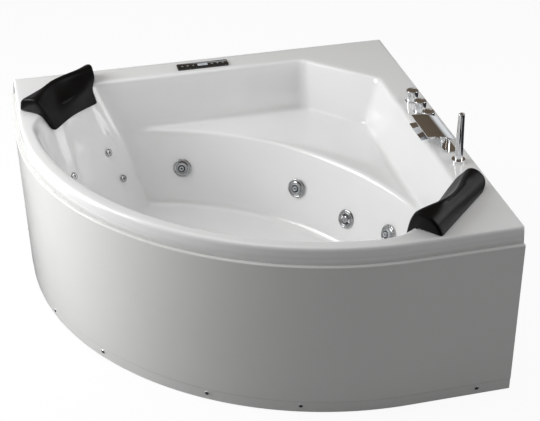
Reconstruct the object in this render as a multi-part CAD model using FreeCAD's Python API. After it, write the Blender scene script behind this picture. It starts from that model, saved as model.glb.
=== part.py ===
import FreeCAD, Part
import math
import os

# A jetted corner bath, in millimetres. The origin is on the floor in the middle of the square
# footprint and +Z is up. The room's walls are at +X and +Y, and the curved front faces -X and -Y.
# Everything but the drain, the taps and the machinery is mirrored about the plane x = y.

V = FreeCAD.Vector
UP = V(0, 0, 1)
ROOT2 = math.sqrt(2.0)

# ---- plan and heights -------------------------------------------------------------------------
SIDE = 1520.0               # each wall side of the footprint
RIM_Z = 645.0               # top of the deck
SEAT_Z = 450.0              # corner bench
FLOOR_Z = 165.0             # inside bottom of the well
END_STRAIGHT = 360.0        # straight stretch at each end of the front
LEDGE = 20.0                # the apron's top edge stands this far outside the rim
SHELL_T = 6.0               # acrylic with its reinforcement
LIP_DEPTH = 57.0            # the rim turns down this far all round
LIP_T = 6.0
RIM_ROUND = 14.0            # outer edge of the front rim
MOUTH_ROUND = 10.0          # inner edge of the rim, round the hollow
DECK_W = 115.0              # deck between the hollow and each wall
FRONT_RIM_W = 48.0          # rim between the hollow and the front

# ---- the hollow: flat drafted sides, a conical front and a conical rear wall below the bench ----
BACK_DRAFT = 15.0           # degrees from upright
CORNER_DRAFT = 11.5
CORNER_CUT = 245.0          # the hollow's back corner is cut off by this much along each wall
END_DECK_W = 296.66         # deck between a backrest and the bath's end corner, at the rim
RECLINE = 25.3
FRONT_DRAFT = 12.9
WELL_SHIFT = 911.0          # from the front arc's centre to the rear wall's axis, in x and y
WELL_R = 1120.0             # its radius at the bench
WELL_DRAFT = 18.6
FRONT_CORNER_R = 110.0      # between a backrest and the front
BACK_CORNER_R = 60.0
FLOOR_R = 40.0              # where the walls meet the bottom
NOSE_R = 18.0               # front edge of the bench
BENCH_R = 22.0              # back edge of the bench

# ---- base board, frame and feet -----------------------------------------------------------------
BOARD_T = 12.0
RAIL = 30.0                 # square tube
RAIL_WALL = 2.0
RAIL_WALL_GAP = 20.0        # from the room's wall to the rail
RAIL_FRONT_GAP = 20.0       # from the rim line to the front rail
CROSS_RAIL_Y = (380.0, 60.0, -250.0)
UPRIGHT_ALONG = (-420.0, -130.0, 300.0)    # places of the uprights along each wall
UPRIGHT_END = (480.0, 672.0)               # and along each straight end
FOOT_PAD_R = 25.0
FOOT_PAD_T = 10.0
FOOT_STUD_R = 6.0
FOOT_NUT_H = 10.0
FOOT_NUT_R = 10.5
FOOT_FRONT_TURN = 18.0      # the front feet stand this many degrees either side of the middle
FOOT_END = 600.0            # place of the end feet along each straight end
FOOT_BACK = 640.0           # place of the back foot along the back rail
FOOT_CENTRE = (-60.0, 60.0)
STUD_GAP = 0.3

# ---- apron --------------------------------------------------------------------------------------
APRON_T = 4.0
APRON_TAPER = 1.0
APRON_FLANGE = 34.0         # top flange that passes under the lip
APRON_EDGE_R = 4.0
BAND_H = 42.0               # plain band along the bottom
BAND_STEP = 2.0             # how far the band is set back
APRON_CLEAR = 6.0           # above the floor
SCREW_Z = 32.0
SCREW_HEAD_R = 7.0
SCREW_HEAD_T = 3.0
SCREW_R = 2.5
SCREW_LENGTH = 14.0
SCREW_TURNS = (198.0, 214.0, 236.0, 252.0)
SCREW_END = 640.0
BRACKET_W = 40.0
BRACKET_T = 3.0
FIT_GAP = 0.25              # between flat brackets and curved walls

# ---- jets, suction and small jets -----------------------------------------------------------------
JET_TURNS = (69.3, 43.3, 18.0)   # round the rear wall's axis
JET_Z = 308.0
JET_BARREL_R = 28.0
JET_BORE_R = 22.0
JET_FLANGE_R = 36.0
JET_FLANGE_T = 2.5
JET_DEPTH = 68.0
JET_RING_R = 37.5
JET_RING_T = 6.0
JET_BALL_R = 20.2
JET_NOZZLE_R = 8.0
NUT_T = 10.0
NUT_WALL = 10.0
RUN_GAP = 0.3
THREAD_GAP = 0.05
HOLE_GAP = 0.5
SUCTION_TURN = 30.0
SUCTION_Z = 270.0
SUCTION_BARREL_R = 26.0
SUCTION_DEPTH = 46.0
SUCTION_COVER_R = 37.0
SUCTION_COVER_T = 6.0
SUCTION_CAP_R = 13.0
SUCTION_CAP_T = 5.0
SUCTION_SLOT_R = 3.2
SMALL_JET_R = 15.0
SMALL_JET_T = 4.0
SMALL_JET_BORE = 4.0
SMALL_BARREL_R = 9.0
SMALL_BARREL_DEPTH = 40.0
SMALL_JET_ROWS = ((408.0, 67.0, -147.0), (300.0, 80.0, -160.0))   # height, then places along
FLOOR_JETS = ((-195.0, 273.0), (273.0, -195.0))
FLOOR_JET_T = 3.0
FLOOR_BARREL_R = 7.0

# ---- pipework -------------------------------------------------------------------------------------
MANIFOLD_OFFSET = 128.0     # from the wall's inner face, along a jet
MANIFOLD_R = 25.0
MANIFOLD_TURNS = (13.0, 77.0)
STUB_R = 16.0
AIR_OFFSET = 45.0
AIR_Z = 350.0
AIR_R = 12.0
AIR_TURNS = (17.0, 76.0)
AIR_STUB_R = 7.0
PIPE_R = 20.0
BACK_PIPE_R = 11.0
AIR_HOSE_R = 11.0
FLOOR_HOSE_R = 6.0
FLOOR_HOSE_Z = 96.0

# ---- pump, blower and control box on their shelf ----------------------------------------------------
SHELF_T = 12.0
PUMP_Y = 420.0
PUMP_AXIS_UP = 95.0         # above the shelf
WET_X = 450.0
WET_L = 62.0
WET_R = 85.0
WET_WALL = 7.0
WET_BOSS_R = 30.0
WET_BOSS_L = 50.0
MOTOR_GAP = 0.0
MOTOR_R = 65.0
MOTOR_L = 178.0
MOTOR_RIB_R = 69.0
SHAFT_R = 7.0
IMPELLER_R = 60.0
IMPELLER_T = 8.0
VANE_H = 14.0
VANE_COUNT = 6
VANE_T = 4.0
BLOWER_X = 600.0
BLOWER_Y = 610.0
BLOWER_R = 80.0
BLOWER_H = 186.0
BLOWER_WALL = 4.0
FAN_R = 58.0
FAN_H = 36.0
BOX_LOW = (150.0, 600.0)
BOX_SIZE = (150.0, 100.0, 140.0)
BOX_WALL = 3.0
GLAND_R = 11.0
GLAND_BORE = 4.5
GLAND_L = 22.0
CABLE_R = 3.5

# ---- drain and overflow -------------------------------------------------------------------------
DRAIN_X = -150.0
DRAIN_Y = -150.0
DRAIN_FLANGE_R = 36.0
DRAIN_FLANGE_T = 3.0
DRAIN_TUBE_R = 24.0
DRAIN_BORE_R = 19.0
DRAIN_LENGTH = 89.0
DRAIN_NUT_R = 38.0
PLUG_R = 30.0
PLUG_T = 5.0
PLUG_STEM_R = 4.0
TRAP_R = 32.0
TRAP_H = 54.0
WASTE_R = 20.0
WASTE_Z = 50.0
WASTE_END_Y = 60.0
WASTE_SOCKET_L = 45.0       # the drain pipe pushes on this far
WASTE_STOP_R = 23.5
WASTE_STOP_T = 6.0
OVERFLOW_TURN = 225.0
OVERFLOW_Z = 560.0
OVERFLOW_PLATE_R = 34.0
OVERFLOW_PLATE_T = 5.0
OVERFLOW_BODY_R = 22.0
OVERFLOW_DEPTH = 34.0
OVERFLOW_KNOB_R = 26.0
OVERFLOW_KNOB_T = 15.0
OVERFLOW_HOSE_R = 14.0
CABLE_OFF = 55.0            # from the front wall's inner face to the cable behind it

# ---- taps, spout and hand shower on the right deck ------------------------------------------------
TAP_X = 702.0
TAP_Y = (182.0, 93.0, 4.0)
KNOB_R = 23.0
KNOB_H = 42.0
TAP_FLANGE_R = 25.0
TAP_FLANGE_T = 5.0
TAP_STEM_R = 8.0
TAP_STEM_L = 50.0
VALVE_R = 15.0
VALVE_DEPTH = 90.0
TAP_NUT_R = 22.0
TAP_NUT_T = 12.0
INLET_R = 10.5
INLET_L = 60.0
MIXER_PIPE_R = 8.0
MIXER_PIPE_Z = 585.0
SPOUT_Y = (-212.0, -36.0)
SPOUT_BACK_X = 722.0
SPOUT_FRONT_X = 622.0
SPOUT_T = 3.0
TRAY_Y = (-172.0, -42.0)
TRAY_FRONT_X = 614.0
POST_X = 708.0
POST_Y = -160.0
POST_R = 19.0
POST_TAIL_R = 10.0
POST_TAIL_L = 45.0
SPOUT_BASE = (686.0, -228.0, 730.0, -100.0)
SPOUT_BASE_T = 3.0
TRAY_Z = 681.0
HAND_X = 708.0
HAND_Y = -290.0
HAND_TOP = 827.0
HAND_TOP_R = 10.5
HAND_BASE_R = 14.5
HAND_NECK_R = 9.0
HAND_NECK_L = 95.0
HAND_RING_R = 23.5
HAND_RING_T = 9.0
HOSE_R = 7.0

# ---- control panel and bath pillows -----------------------------------------------------------------
PANEL_X = 2.0
PANEL_Y = 696.0
PANEL_W = 205.0
PANEL_D = 50.0
PANEL_T = 6.0
PANEL_CORNER = 6.0
GLASS_MARGIN = 4.0
GLASS_T = 1.5
PANEL_NECK_R = 9.0
PANEL_NECK_L = 25.0
PILLOW_NEAR = 176.0         # its rear edge reaches this far along, towards the front of the bath
PILLOW_FAR = 194.0          # and this far towards the back wall
PILLOW_NEAR_SLANT = 0.08    # how much each end draws in towards the pillow's front
PILLOW_FAR_SLANT = 0.39
PILLOW_FLARE = 0.24         # how much each end widens upwards
PILLOW_REAR = 99.0          # from the edge of the hollow to the pillow's rear edge
PILLOW_RIDGE = 30.0         # and to the front of its crown
PILLOW_H = 60.0
PILLOW_DROP = 63.5          # the front hangs this far below the deck
PILLOW_ARCH = 6.5           # the hanging edge is higher in the middle
PILLOW_THIN = 17.0          # over the edge of the hollow
PILLOW_TIP = 5.0
PILLOW_HOOK = 120.0         # the part inside the hollow ends here, short of the corner
PILLOW_HOLLOW = 25.0        # the neck hollow draws the crown back
PILLOW_HOLLOW_HALF = 190.0
PILLOW_GAP = 0.4
PEG_R = 4.0
PEG_ALONG = 80.0
PEG_SET = 68.0              # from the edge of the hollow
PEG_L = 30.0

# ---- worked out ------------------------------------------------------------------------------------
HALF = SIDE / 2.0
ARC_CENTRE = HALF - END_STRAIGHT
RIM_R = ARC_CENTRE + HALF - LEDGE
APRON_R = RIM_R + LEDGE
LIP_Z = RIM_Z - LIP_DEPTH
DECK_UNDER = RIM_Z - SHELL_T
BOARD_TOP = FLOOR_Z - SHELL_T
RAIL_TOP = BOARD_TOP - BOARD_T
RAIL_Z = RAIL_TOP - RAIL
RAIL_FAR = HALF - RAIL_WALL_GAP            # wall faces of the back and right rails
RAIL_FRONT_R = RIM_R - RAIL_FRONT_GAP      # outer radius of the front rail
RAIL_FRONT = RAIL_FRONT_R - ARC_CENTRE     # its distance from the origin at the straight ends
SHELF_TOP = RAIL_TOP + SHELF_T
MOUTH_FRONT_R = RIM_R - FRONT_RIM_W
WELL_CENTRE = ARC_CENTRE - WELL_SHIFT      # x and y of the rear wall's axis
BACKREST_HALF = (SIDE - LEDGE) / ROOT2 - END_DECK_W   # middle plane to a backrest, at the rim
PILLOW_REAR_W = BACKREST_HALF + PILLOW_REAR           # the same, to the pillow's rear edge
PILLOW_RIDGE_W = BACKREST_HALF + PILLOW_RIDGE
PEG_W = BACKREST_HALF + PEG_SET


def tan(degrees):
    return math.tan(math.radians(degrees))


def cos(degrees):
    return math.cos(math.radians(degrees))


def sin(degrees):
    return math.sin(math.radians(degrees))


# ---- plain solids ----------------------------------------------------------------------------------
def box(low, high):
    """Box between two corners."""
    return Part.makeBox(high[0] - low[0], high[1] - low[1], high[2] - low[2], V(*low))


def rod(x, y, z_low, z_high, radius):
    """Upright cylinder."""
    return Part.makeCylinder(radius, z_high - z_low, V(x, y, z_low), UP)


def collar(x, y, z_low, z_high, radius, bore):
    """Upright ring."""
    return rod(x, y, z_low, z_high, radius).cut(rod(x, y, z_low - 1, z_high + 1, bore))


def disc(z_low, z_high, radius):
    """Cylinder on the Z axis, for fittings that are made at the origin."""
    return rod(0, 0, z_low, z_high, radius)


def prism(points, z_low, z_high):
    """Upright prism on a polygon."""
    corners = [V(x, y, z_low) for x, y in points]
    face = Part.Face(Part.makePolygon(corners + corners[:1]))
    return face.extrude(V(0, 0, z_high - z_low))


def seated(shape, seat):
    """A fitting made on the Z axis, moved to a seat: a point of a wall and the way it faces."""
    point, facing = seat
    moved = shape.copy()
    moved.Placement = FreeCAD.Placement(point, FreeCAD.Rotation(UP, facing))
    return moved


def mirrored(shape):
    """The same piece on the other side of the plane x = y."""
    return shape.mirror(V(0, 0, 0), V(1, -1, 0))


def joined(shapes):
    """One solid from pieces that touch or overlap."""
    whole = shapes[0]
    for shape in shapes[1:]:
        whole = whole.fuse(shape)
    return whole.removeSplitter()


def without(shape, tools):
    """The shape with each tool cut away."""
    for tool in tools:
        shape = shape.cut(tool)
    return shape


def save(node, *shapes):
    """One STEP file for a node, as one solid or as a group of separate solids."""
    solids = [solid for shape in shapes for solid in shape.Solids]
    whole = solids[0] if len(solids) == 1 else Part.makeCompound(solids)
    whole.exportStep("parts/%s.step" % node)


def bent_path(points, largest):
    """Straight runs joined by tangent arcs. Each arc is as large as its runs allow, up to a limit."""
    corners = [V(*p) for p in points]
    edges = []
    radii = []
    start = corners[0]
    for before, corner, after in zip(corners, corners[1:], corners[2:]):
        run_in = corner - before
        run_out = after - corner
        half_turn = run_in.getAngle(run_out) / 2.0
        shorter = min(run_in.Length, run_out.Length)
        radius = min(largest, 0.45 * shorter / math.tan(half_turn))
        radii.append(radius)
        setback = radius * math.tan(half_turn)
        run_in.normalize()
        run_out.normalize()
        first = corner - run_in * setback
        last = corner + run_out * setback
        middle_way = run_out - run_in
        middle_way.normalize()
        middle = corner + middle_way * (radius / math.cos(half_turn) - radius)
        edges.append(Part.LineSegment(start, first).toShape())
        edges.append(Part.Arc(first, middle, last).toShape())
        start = last
    edges.append(Part.LineSegment(start, corners[-1]).toShape())
    return Part.Wire(edges), radii


def bent_tube(name, points, radius, largest):
    """Round tube or cable along a bent path. Its volume is compared with section times length."""
    path, radii = bent_path(points, largest)
    facing = V(*points[1]) - V(*points[0])
    section = Part.Wire(Part.makeCircle(radius, V(*points[0]), facing))
    tube = path.makePipeShell([section], True, False)
    ideal = math.pi * radius ** 2 * path.Length
    print("%s: length %.0f mm, volume / ideal %.4f" % (name, path.Length, tube.Volume / ideal))
    print("    radii " + " ".join("%.0f" % radius for radius in radii))
    return tube


# ---- seats on the walls of the hollow --------------------------------------------------------------
def rear_radius(z):
    return WELL_R - (SEAT_Z - z) * tan(WELL_DRAFT)


def front_radius(z):
    return MOUTH_FRONT_R - (RIM_Z - z) * tan(FRONT_DRAFT)


def backrest_half(z):
    return BACKREST_HALF - (RIM_Z - z) * tan(RECLINE)


def on_rear_wall(turn, z):
    r = rear_radius(z)
    point = V(WELL_CENTRE + r * cos(turn), WELL_CENTRE + r * sin(turn), z)
    facing = V(-cos(turn) * cos(WELL_DRAFT), -sin(turn) * cos(WELL_DRAFT), sin(WELL_DRAFT))
    return point, facing


def on_front_wall(turn, z):
    r = front_radius(z)
    point = V(ARC_CENTRE + r * cos(turn), ARC_CENTRE + r * sin(turn), z)
    facing = V(-cos(turn) * cos(FRONT_DRAFT), -sin(turn) * cos(FRONT_DRAFT), sin(FRONT_DRAFT))
    return point, facing


def left_point(along, across, z):
    """A point by its place along the left backrest and its distance from the middle plane."""
    return V((along - across) / ROOT2, (along + across) / ROOT2, z)


def on_left_backrest(along, z):
    facing = V(cos(RECLINE) / ROOT2, -cos(RECLINE) / ROOT2, sin(RECLINE))
    return left_point(along, backrest_half(z), z), facing


def curved_lift(radius, wall_radius):
    """A flat flange on a hollow curve clears it by this much at its middle."""
    return radius ** 2 / (2.0 * wall_radius) + 0.1


# ---- tub shell ---------------------------------------------------------------------------------------
def plan(inset, wall_inset, z_low, z_high):
    """The bath's outline, drawn in from the rim line and from the walls, as an upright slab."""
    front = HALF - LEDGE - inset
    wall = HALF - wall_inset
    radius = ARC_CENTRE + front
    left_back = V(-front, wall, z_low)
    left_front = V(-front, ARC_CENTRE, z_low)
    bow = V(ARC_CENTRE - radius / ROOT2, ARC_CENTRE - radius / ROOT2, z_low)
    right_front = V(ARC_CENTRE, -front, z_low)
    right_back = V(wall, -front, z_low)
    corner = V(wall, wall, z_low)
    edges = [
        Part.LineSegment(left_back, left_front).toShape(),
        Part.Arc(left_front, bow, right_front).toShape(),
        Part.LineSegment(right_front, right_back).toShape(),
        Part.LineSegment(right_back, corner).toShape(),
        Part.LineSegment(corner, left_back).toShape(),
    ]
    return Part.Face(Part.Wire(edges)).extrude(V(0, 0, z_high - z_low))


def round_front_edge(slab, z, wall, radius):
    """Rounds the top edge along the two straight ends and the curved front."""
    top = [e for e in slab.Edges if e.BoundBox.ZMin > z - 0.01]
    front = [e for e in top if e.CenterOfMass.x < wall - 1 and e.CenterOfMass.y < wall - 1]
    return slab.makeFillet(radius, front)


def drafted_solid(low_points, z_low, high_points, z_high):
    """Solid with flat sides between two polygons whose edges are parallel."""
    low = [V(x, y, z_low) for x, y in low_points]
    high = [V(x, y, z_high) for x, y in high_points]
    faces = [Part.Face(Part.makePolygon(ring + ring[:1])) for ring in (low, high)]
    for i in range(len(low)):
        j = (i + 1) % len(low)
        faces.append(Part.Face(Part.makePolygon([low[i], low[j], high[j], high[i], low[i]])))
    solid = Part.Solid(Part.Shell(faces))
    if solid.Volume < 0:
        solid.reverse()
    return solid


def hollow_polygon(z, grow):
    """Plan of the flat sides at one height: left backrest, back wall, corner, right wall, backrest."""
    back = HALF - DECK_W - (RIM_Z - z) * tan(BACK_DRAFT) + grow / cos(BACK_DRAFT)
    corner = 2 * (HALF - DECK_W) - CORNER_CUT
    corner += ROOT2 * (grow / cos(CORNER_DRAFT) - (RIM_Z - z) * tan(CORNER_DRAFT))
    across = ROOT2 * (backrest_half(z) + grow / cos(RECLINE))
    far = SIDE
    return [
        (back - across, back),
        (corner - back, back),
        (back, corner - back),
        (back, back - across),
        ((across - far) / 2, (-far - across) / 2),
        ((-far - across) / 2, (across - far) / 2),
    ]


def drafted_cone(centre, radius, at_z, draft, grow, z_low, z_high):
    """Upright cone that widens upwards."""
    low = radius - (at_z - z_low) * tan(draft) + grow / cos(draft)
    high = radius - (at_z - z_high) * tan(draft) + grow / cos(draft)
    return Part.makeCone(low, high, z_high - z_low, V(centre, centre, z_low), UP)


def well_space(grow, bottom, bench, top):
    """Everything inside the rear wall, flaring over the bench's rounded front edge."""
    radius = NOSE_R - grow
    at_bench = WELL_R - grow * tan(WELL_DRAFT) + grow / cos(WELL_DRAFT)
    setback = radius * tan((90 - WELL_DRAFT) / 2)
    flare = at_bench + setback
    turn = WELL_DRAFT + (90 - WELL_DRAFT) / 2
    bow = V(flare - radius * sin(turn), 0, bench - radius + radius * cos(turn))
    p = [
        V(0, 0, bottom),
        V(at_bench - (bench - bottom) * tan(WELL_DRAFT), 0, bottom),
        V(at_bench - setback * sin(WELL_DRAFT), 0, bench - setback * cos(WELL_DRAFT)),
        V(flare, 0, bench),
        V(flare, 0, top),
        V(0, 0, top),
    ]
    edges = [Part.LineSegment(p[0], p[1]).toShape(), Part.LineSegment(p[1], p[2]).toShape()]
    edges.append(Part.Arc(p[2], bow, p[3]).toShape())
    for i in (3, 4, 5):
        edges.append(Part.LineSegment(p[i], p[(i + 1) % 6]).toShape())
    solid = Part.Face(Part.Wire(edges)).revolve(V(0, 0, 0), UP, 360)
    solid.translate(V(WELL_CENTRE, WELL_CENTRE, 0))
    return solid


def hollow_space(grow, top):
    """The space that the bather and the water fill, or the same grown by the shell's thickness."""
    bottom = FLOOR_Z - grow
    bench = SEAT_Z - grow
    sides = drafted_solid(hollow_polygon(bottom, grow), bottom, hollow_polygon(top, grow), top)
    front = drafted_cone(ARC_CENTRE, MOUTH_FRONT_R, RIM_Z, FRONT_DRAFT, grow, bottom, top)
    space = sides.common(front)
    tall = 0.9 * (top - bottom)
    upright = [e for e in space.Edges if e.BoundBox.ZLength > tall]
    at_front = [e for e in upright if e.CenterOfMass.x + e.CenterOfMass.y < 0]
    space = space.makeFillet(FRONT_CORNER_R + grow, at_front)
    upright = [e for e in space.Edges if e.BoundBox.ZLength > tall and isinstance(e.Curve, Part.Line)]
    at_back = [e for e in upright if e.CenterOfMass.x + e.CenterOfMass.y > 0]
    space = space.makeFillet(BACK_CORNER_R + grow, at_back)
    over = space.cut(box((-SIDE, -SIDE, bottom - 1), (SIDE, SIDE, bench)))
    over = over.makeFillet(BENCH_R + grow, [e for e in over.Edges if e.BoundBox.ZMax < bench + 0.01])
    well = space.common(well_space(grow, bottom, bench, top))
    space = over.fuse(well).removeSplitter()
    at_floor = [e for e in space.Edges if e.BoundBox.ZMax < bottom + 0.01]
    return space.makeFillet(FLOOR_R + grow, at_floor)


def tub_shell(cutters):
    deck = plan(0, 0, LIP_Z, RIM_Z)
    deck = round_front_edge(deck, RIM_Z, HALF, RIM_ROUND)
    under = plan(LIP_T, LIP_T, LIP_Z - 1, DECK_UNDER)
    under = round_front_edge(under, DECK_UNDER, HALF - LIP_T, RIM_ROUND - SHELL_T)
    shell = deck.cut(under).fuse(hollow_space(SHELL_T, RIM_Z)).cut(hollow_space(0, RIM_Z + 1))
    shell = shell.removeSplitter()
    limit = HALF - LEDGE - FRONT_RIM_W + 1
    mouth = [
        e for e in shell.Edges
        if e.BoundBox.ZMin > RIM_Z - 0.01
        and e.BoundBox.XMin > -limit
        and e.BoundBox.YMin > -limit
        and max(e.BoundBox.XMax, e.BoundBox.YMax) < HALF - DECK_W + 1
    ]
    shell = shell.makeFillet(MOUTH_ROUND, mouth)
    return without(shell, cutters)


# ---- base board, frame, feet ----------------------------------------------------------------------
def base_board(cutters):
    """Board bonded under the flat bottom of the well."""
    bottom = FLOOR_Z - SHELL_T
    edge = drafted_solid(hollow_polygon(bottom, 0), RAIL_TOP, hollow_polygon(bottom, 0), BOARD_TOP)
    front = Part.makeCylinder(front_radius(bottom), BOARD_T, V(ARC_CENTRE, ARC_CENTRE, RAIL_TOP), UP)
    rear = Part.makeCylinder(rear_radius(bottom), BOARD_T, V(WELL_CENTRE, WELL_CENTRE, RAIL_TOP), UP)
    return without(edge.common(front).common(rear), cutters)


def square_tube(low, high, axis):
    """Square tube along one axis, open at its ends."""
    inner_low = [value + RAIL_WALL for value in low]
    inner_high = [value - RAIL_WALL for value in high]
    inner_low[axis] = low[axis] - 1
    inner_high[axis] = high[axis] + 1
    return box(low, high).cut(box(inner_low, inner_high))


def front_rail():
    """Rolled square tube, a quarter turn round the front arc's centre."""
    centre = V(ARC_CENTRE, ARC_CENTRE, RAIL_Z)
    quarter = box((-SIDE, -SIDE, 0), (ARC_CENTRE, ARC_CENTRE, RIM_Z))
    outer = Part.makeCylinder(RAIL_FRONT_R, RAIL, centre, UP)
    outer = outer.cut(Part.makeCylinder(RAIL_FRONT_R - RAIL, RAIL, centre, UP))
    inside = centre + V(0, 0, RAIL_WALL)
    inner = Part.makeCylinder(RAIL_FRONT_R - RAIL_WALL, RAIL - 2 * RAIL_WALL, inside, UP)
    inner = inner.cut(Part.makeCylinder(RAIL_FRONT_R - RAIL + RAIL_WALL, RAIL, inside, UP))
    return outer.common(quarter).cut(inner.common(quarter))


def base_rails(cutters):
    """The ring at the bottom: one tube along each wall, one at each end and the rolled front."""
    near = RAIL_FAR - RAIL
    ends = RAIL_FRONT - RAIL
    back = square_tube((-RAIL_FRONT, near, RAIL_Z), (RAIL_FAR, RAIL_FAR, RAIL_TOP), 0)
    right = square_tube((near, -RAIL_FRONT, RAIL_Z), (RAIL_FAR, near, RAIL_TOP), 1)
    left_end = square_tube((-RAIL_FRONT, ARC_CENTRE, RAIL_Z), (-ends, near, RAIL_TOP), 1)
    right_end = square_tube((ARC_CENTRE, -RAIL_FRONT, RAIL_Z), (near, -ends, RAIL_TOP), 0)
    return [without(tube, cutters) for tube in (back, right, left_end, right_end, front_rail())]


def cross_rails(cutters):
    """Three tubes under the base board, from the front rail to the right rail."""
    centre = V(ARC_CENTRE, ARC_CENTRE, RAIL_Z - 1)
    beyond = Part.makeCylinder(SIDE, RAIL + 2, centre, UP)
    beyond = beyond.cut(Part.makeCylinder(RAIL_FRONT_R - RAIL, RAIL + 2, centre, UP))
    rails = []
    for y in CROSS_RAIL_Y:
        low = (-HALF, y - RAIL / 2, RAIL_Z)
        high = (RAIL_FAR - RAIL, y + RAIL / 2, RAIL_TOP)
        left_part = beyond.common(box((-SIDE, -SIDE, 0), (0, SIDE, RIM_Z)))
        rails.append(without(square_tube(low, high, 0).cut(left_part), cutters))
    return rails


def upright_places():
    far = RAIL_FAR - RAIL / 2
    end = RAIL_FRONT - RAIL / 2
    places = [(far, far)]
    for along in UPRIGHT_ALONG:
        places.append((along, far))
    for along in (UPRIGHT_ALONG[0], UPRIGHT_ALONG[2]):
        places.append((far, along))
    for along in UPRIGHT_END:
        places += [(-end, along), (along, -end)]
    return places


def uprights():
    """Posts from the rails to the underside of the deck."""
    posts = []
    for x, y in upright_places():
        low = (x - RAIL / 2, y - RAIL / 2, RAIL_TOP)
        posts.append(square_tube(low, (x + RAIL / 2, y + RAIL / 2, DECK_UNDER), 2))
    return posts


def foot_places():
    end = RAIL_FRONT - RAIL / 2
    radius = RAIL_FRONT_R - RAIL / 2
    places = [(-end, FOOT_END), (FOOT_END, -end), (FOOT_BACK, RAIL_FAR - RAIL / 2), FOOT_CENTRE]
    for turn in (OVERFLOW_TURN - FOOT_FRONT_TURN, OVERFLOW_TURN + FOOT_FRONT_TURN):
        places.append((ARC_CENTRE + radius * cos(turn), ARC_CENTRE + radius * sin(turn)))
    return places


def foot(x, y):
    """Levelling foot: a dished pad with its threaded stud."""
    pad = rod(x, y, 0, FOOT_PAD_T * 0.6, FOOT_PAD_R)
    top = Part.makeCone(FOOT_PAD_R, FOOT_STUD_R * 1.6, FOOT_PAD_T * 0.4, V(x, y, FOOT_PAD_T * 0.6), UP)
    stud = rod(x, y, FOOT_PAD_T * 0.5, RAIL_TOP - 3 * RAIL_WALL, FOOT_STUD_R)
    return joined([pad, top, stud])


def foot_nut(x, y):
    """Lock nut against the underside of the rail."""
    corners = [(x + FOOT_NUT_R * cos(60 * i), y + FOOT_NUT_R * sin(60 * i)) for i in range(6)]
    nut = prism(corners, RAIL_Z - FOOT_NUT_H, RAIL_Z)
    return nut.cut(rod(x, y, RAIL_Z - FOOT_NUT_H - 1, RAIL_Z + 1, FOOT_STUD_R + STUD_GAP))


# ---- apron ------------------------------------------------------------------------------------------
def apron_section(offset):
    """Closed section of the panel in the X-Z plane, with x as the distance outwards."""
    top = offset
    band = offset - APRON_TAPER - BAND_STEP
    low = APRON_CLEAR
    step = low + BAND_H
    p = [
        V(top - APRON_FLANGE, 0, LIP_Z),
        V(top - APRON_EDGE_R, 0, LIP_Z),
        V(top, 0, LIP_Z - APRON_EDGE_R),
        V(top - APRON_TAPER, 0, step + BAND_STEP),
        V(band, 0, step),
        V(band, 0, low),
        V(band - APRON_T, 0, low),
        V(band - APRON_T, 0, step + APRON_T * 0.5),
        V(top - APRON_TAPER - APRON_T, 0, step + BAND_STEP + APRON_T * 0.5),
        V(top - APRON_T, 0, LIP_Z - APRON_T),
        V(top - APRON_FLANGE, 0, LIP_Z - APRON_T),
    ]
    nip = APRON_EDGE_R * (1 - cos(45))
    bow = V(top - nip, 0, LIP_Z - nip)
    edges = [Part.LineSegment(p[0], p[1]).toShape(), Part.Arc(p[1], bow, p[2]).toShape()]
    for i in range(2, len(p)):
        edges.append(Part.LineSegment(p[i], p[(i + 1) % len(p)]).toShape())
    return Part.Face(Part.Wire(edges))


def apron_panel(cutters):
    section = apron_section(APRON_R)
    centre = V(ARC_CENTRE, ARC_CENTRE, 0)
    section.rotate(V(0, 0, 0), UP, 180)
    section.translate(centre)
    curved = section.revolve(centre, UP, 90)
    left = section.extrude(V(0, END_STRAIGHT, 0))
    right = mirrored(left)
    return without(joined([left, curved, right]), cutters)


def apron_fixings():
    """Place and outward way of each screw in the apron's band, with the panel's inner face there."""
    inner = APRON_R - APRON_TAPER - BAND_STEP - APRON_T
    fixings = []
    for turn in SCREW_TURNS:
        way = V(cos(turn), sin(turn), 0)
        fixings.append((V(ARC_CENTRE, ARC_CENTRE, 0) + way * inner, way))
    end = inner - ARC_CENTRE
    fixings.append((V(-end, SCREW_END, 0), V(-1, 0, 0)))
    fixings.append((V(SCREW_END, -end, 0), V(0, -1, 0)))
    return fixings


def upright_seat(shape, point, way):
    """A piece made with +X outwards, turned to a fixing's way and moved there."""
    moved = shape.copy()
    moved.rotate(V(0, 0, 0), UP, math.degrees(math.atan2(way.y, way.x)))
    moved.translate(point)
    return moved


def apron_bracket():
    """Cranked strip: against the front rail, out below it, and up behind the apron's band."""
    reach = APRON_R - APRON_TAPER - BAND_STEP - APRON_T - RAIL_FRONT_R
    half = BRACKET_W / 2
    low = SCREW_Z - 12
    inner = -reach + FIT_GAP / 5
    outer = -FIT_GAP
    upper = box((inner, -half, low), (inner + BRACKET_T, half, RAIL_TOP - 2))
    tongue = box((inner, -half, low), (outer, half, low + BRACKET_T))
    lower = box((outer - BRACKET_T, -half, low), (outer, half, SCREW_Z + 12))
    start = V(outer - 2 * BRACKET_T, 0, SCREW_Z)
    hole = Part.makeCylinder(SCREW_R + HOLE_GAP, 3 * BRACKET_T, start, V(1, 0, 0))
    return joined([upper, tongue, lower]).cut(hole)


def apron_screw():
    """Pan-head screw from outside, made with +X outwards from the panel's inner face."""
    head = Part.makeCylinder(SCREW_HEAD_R, SCREW_HEAD_T, V(APRON_T, 0, SCREW_Z), V(1, 0, 0))
    rim = [e for e in head.Edges if e.BoundBox.XMin > APRON_T + SCREW_HEAD_T - 0.01]
    head = head.makeFillet(SCREW_HEAD_T * 0.6, rim)
    shank = Part.makeCylinder(SCREW_R, SCREW_LENGTH, V(APRON_T - SCREW_LENGTH, 0, SCREW_Z), V(1, 0, 0))
    return joined([head, shank])


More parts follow.
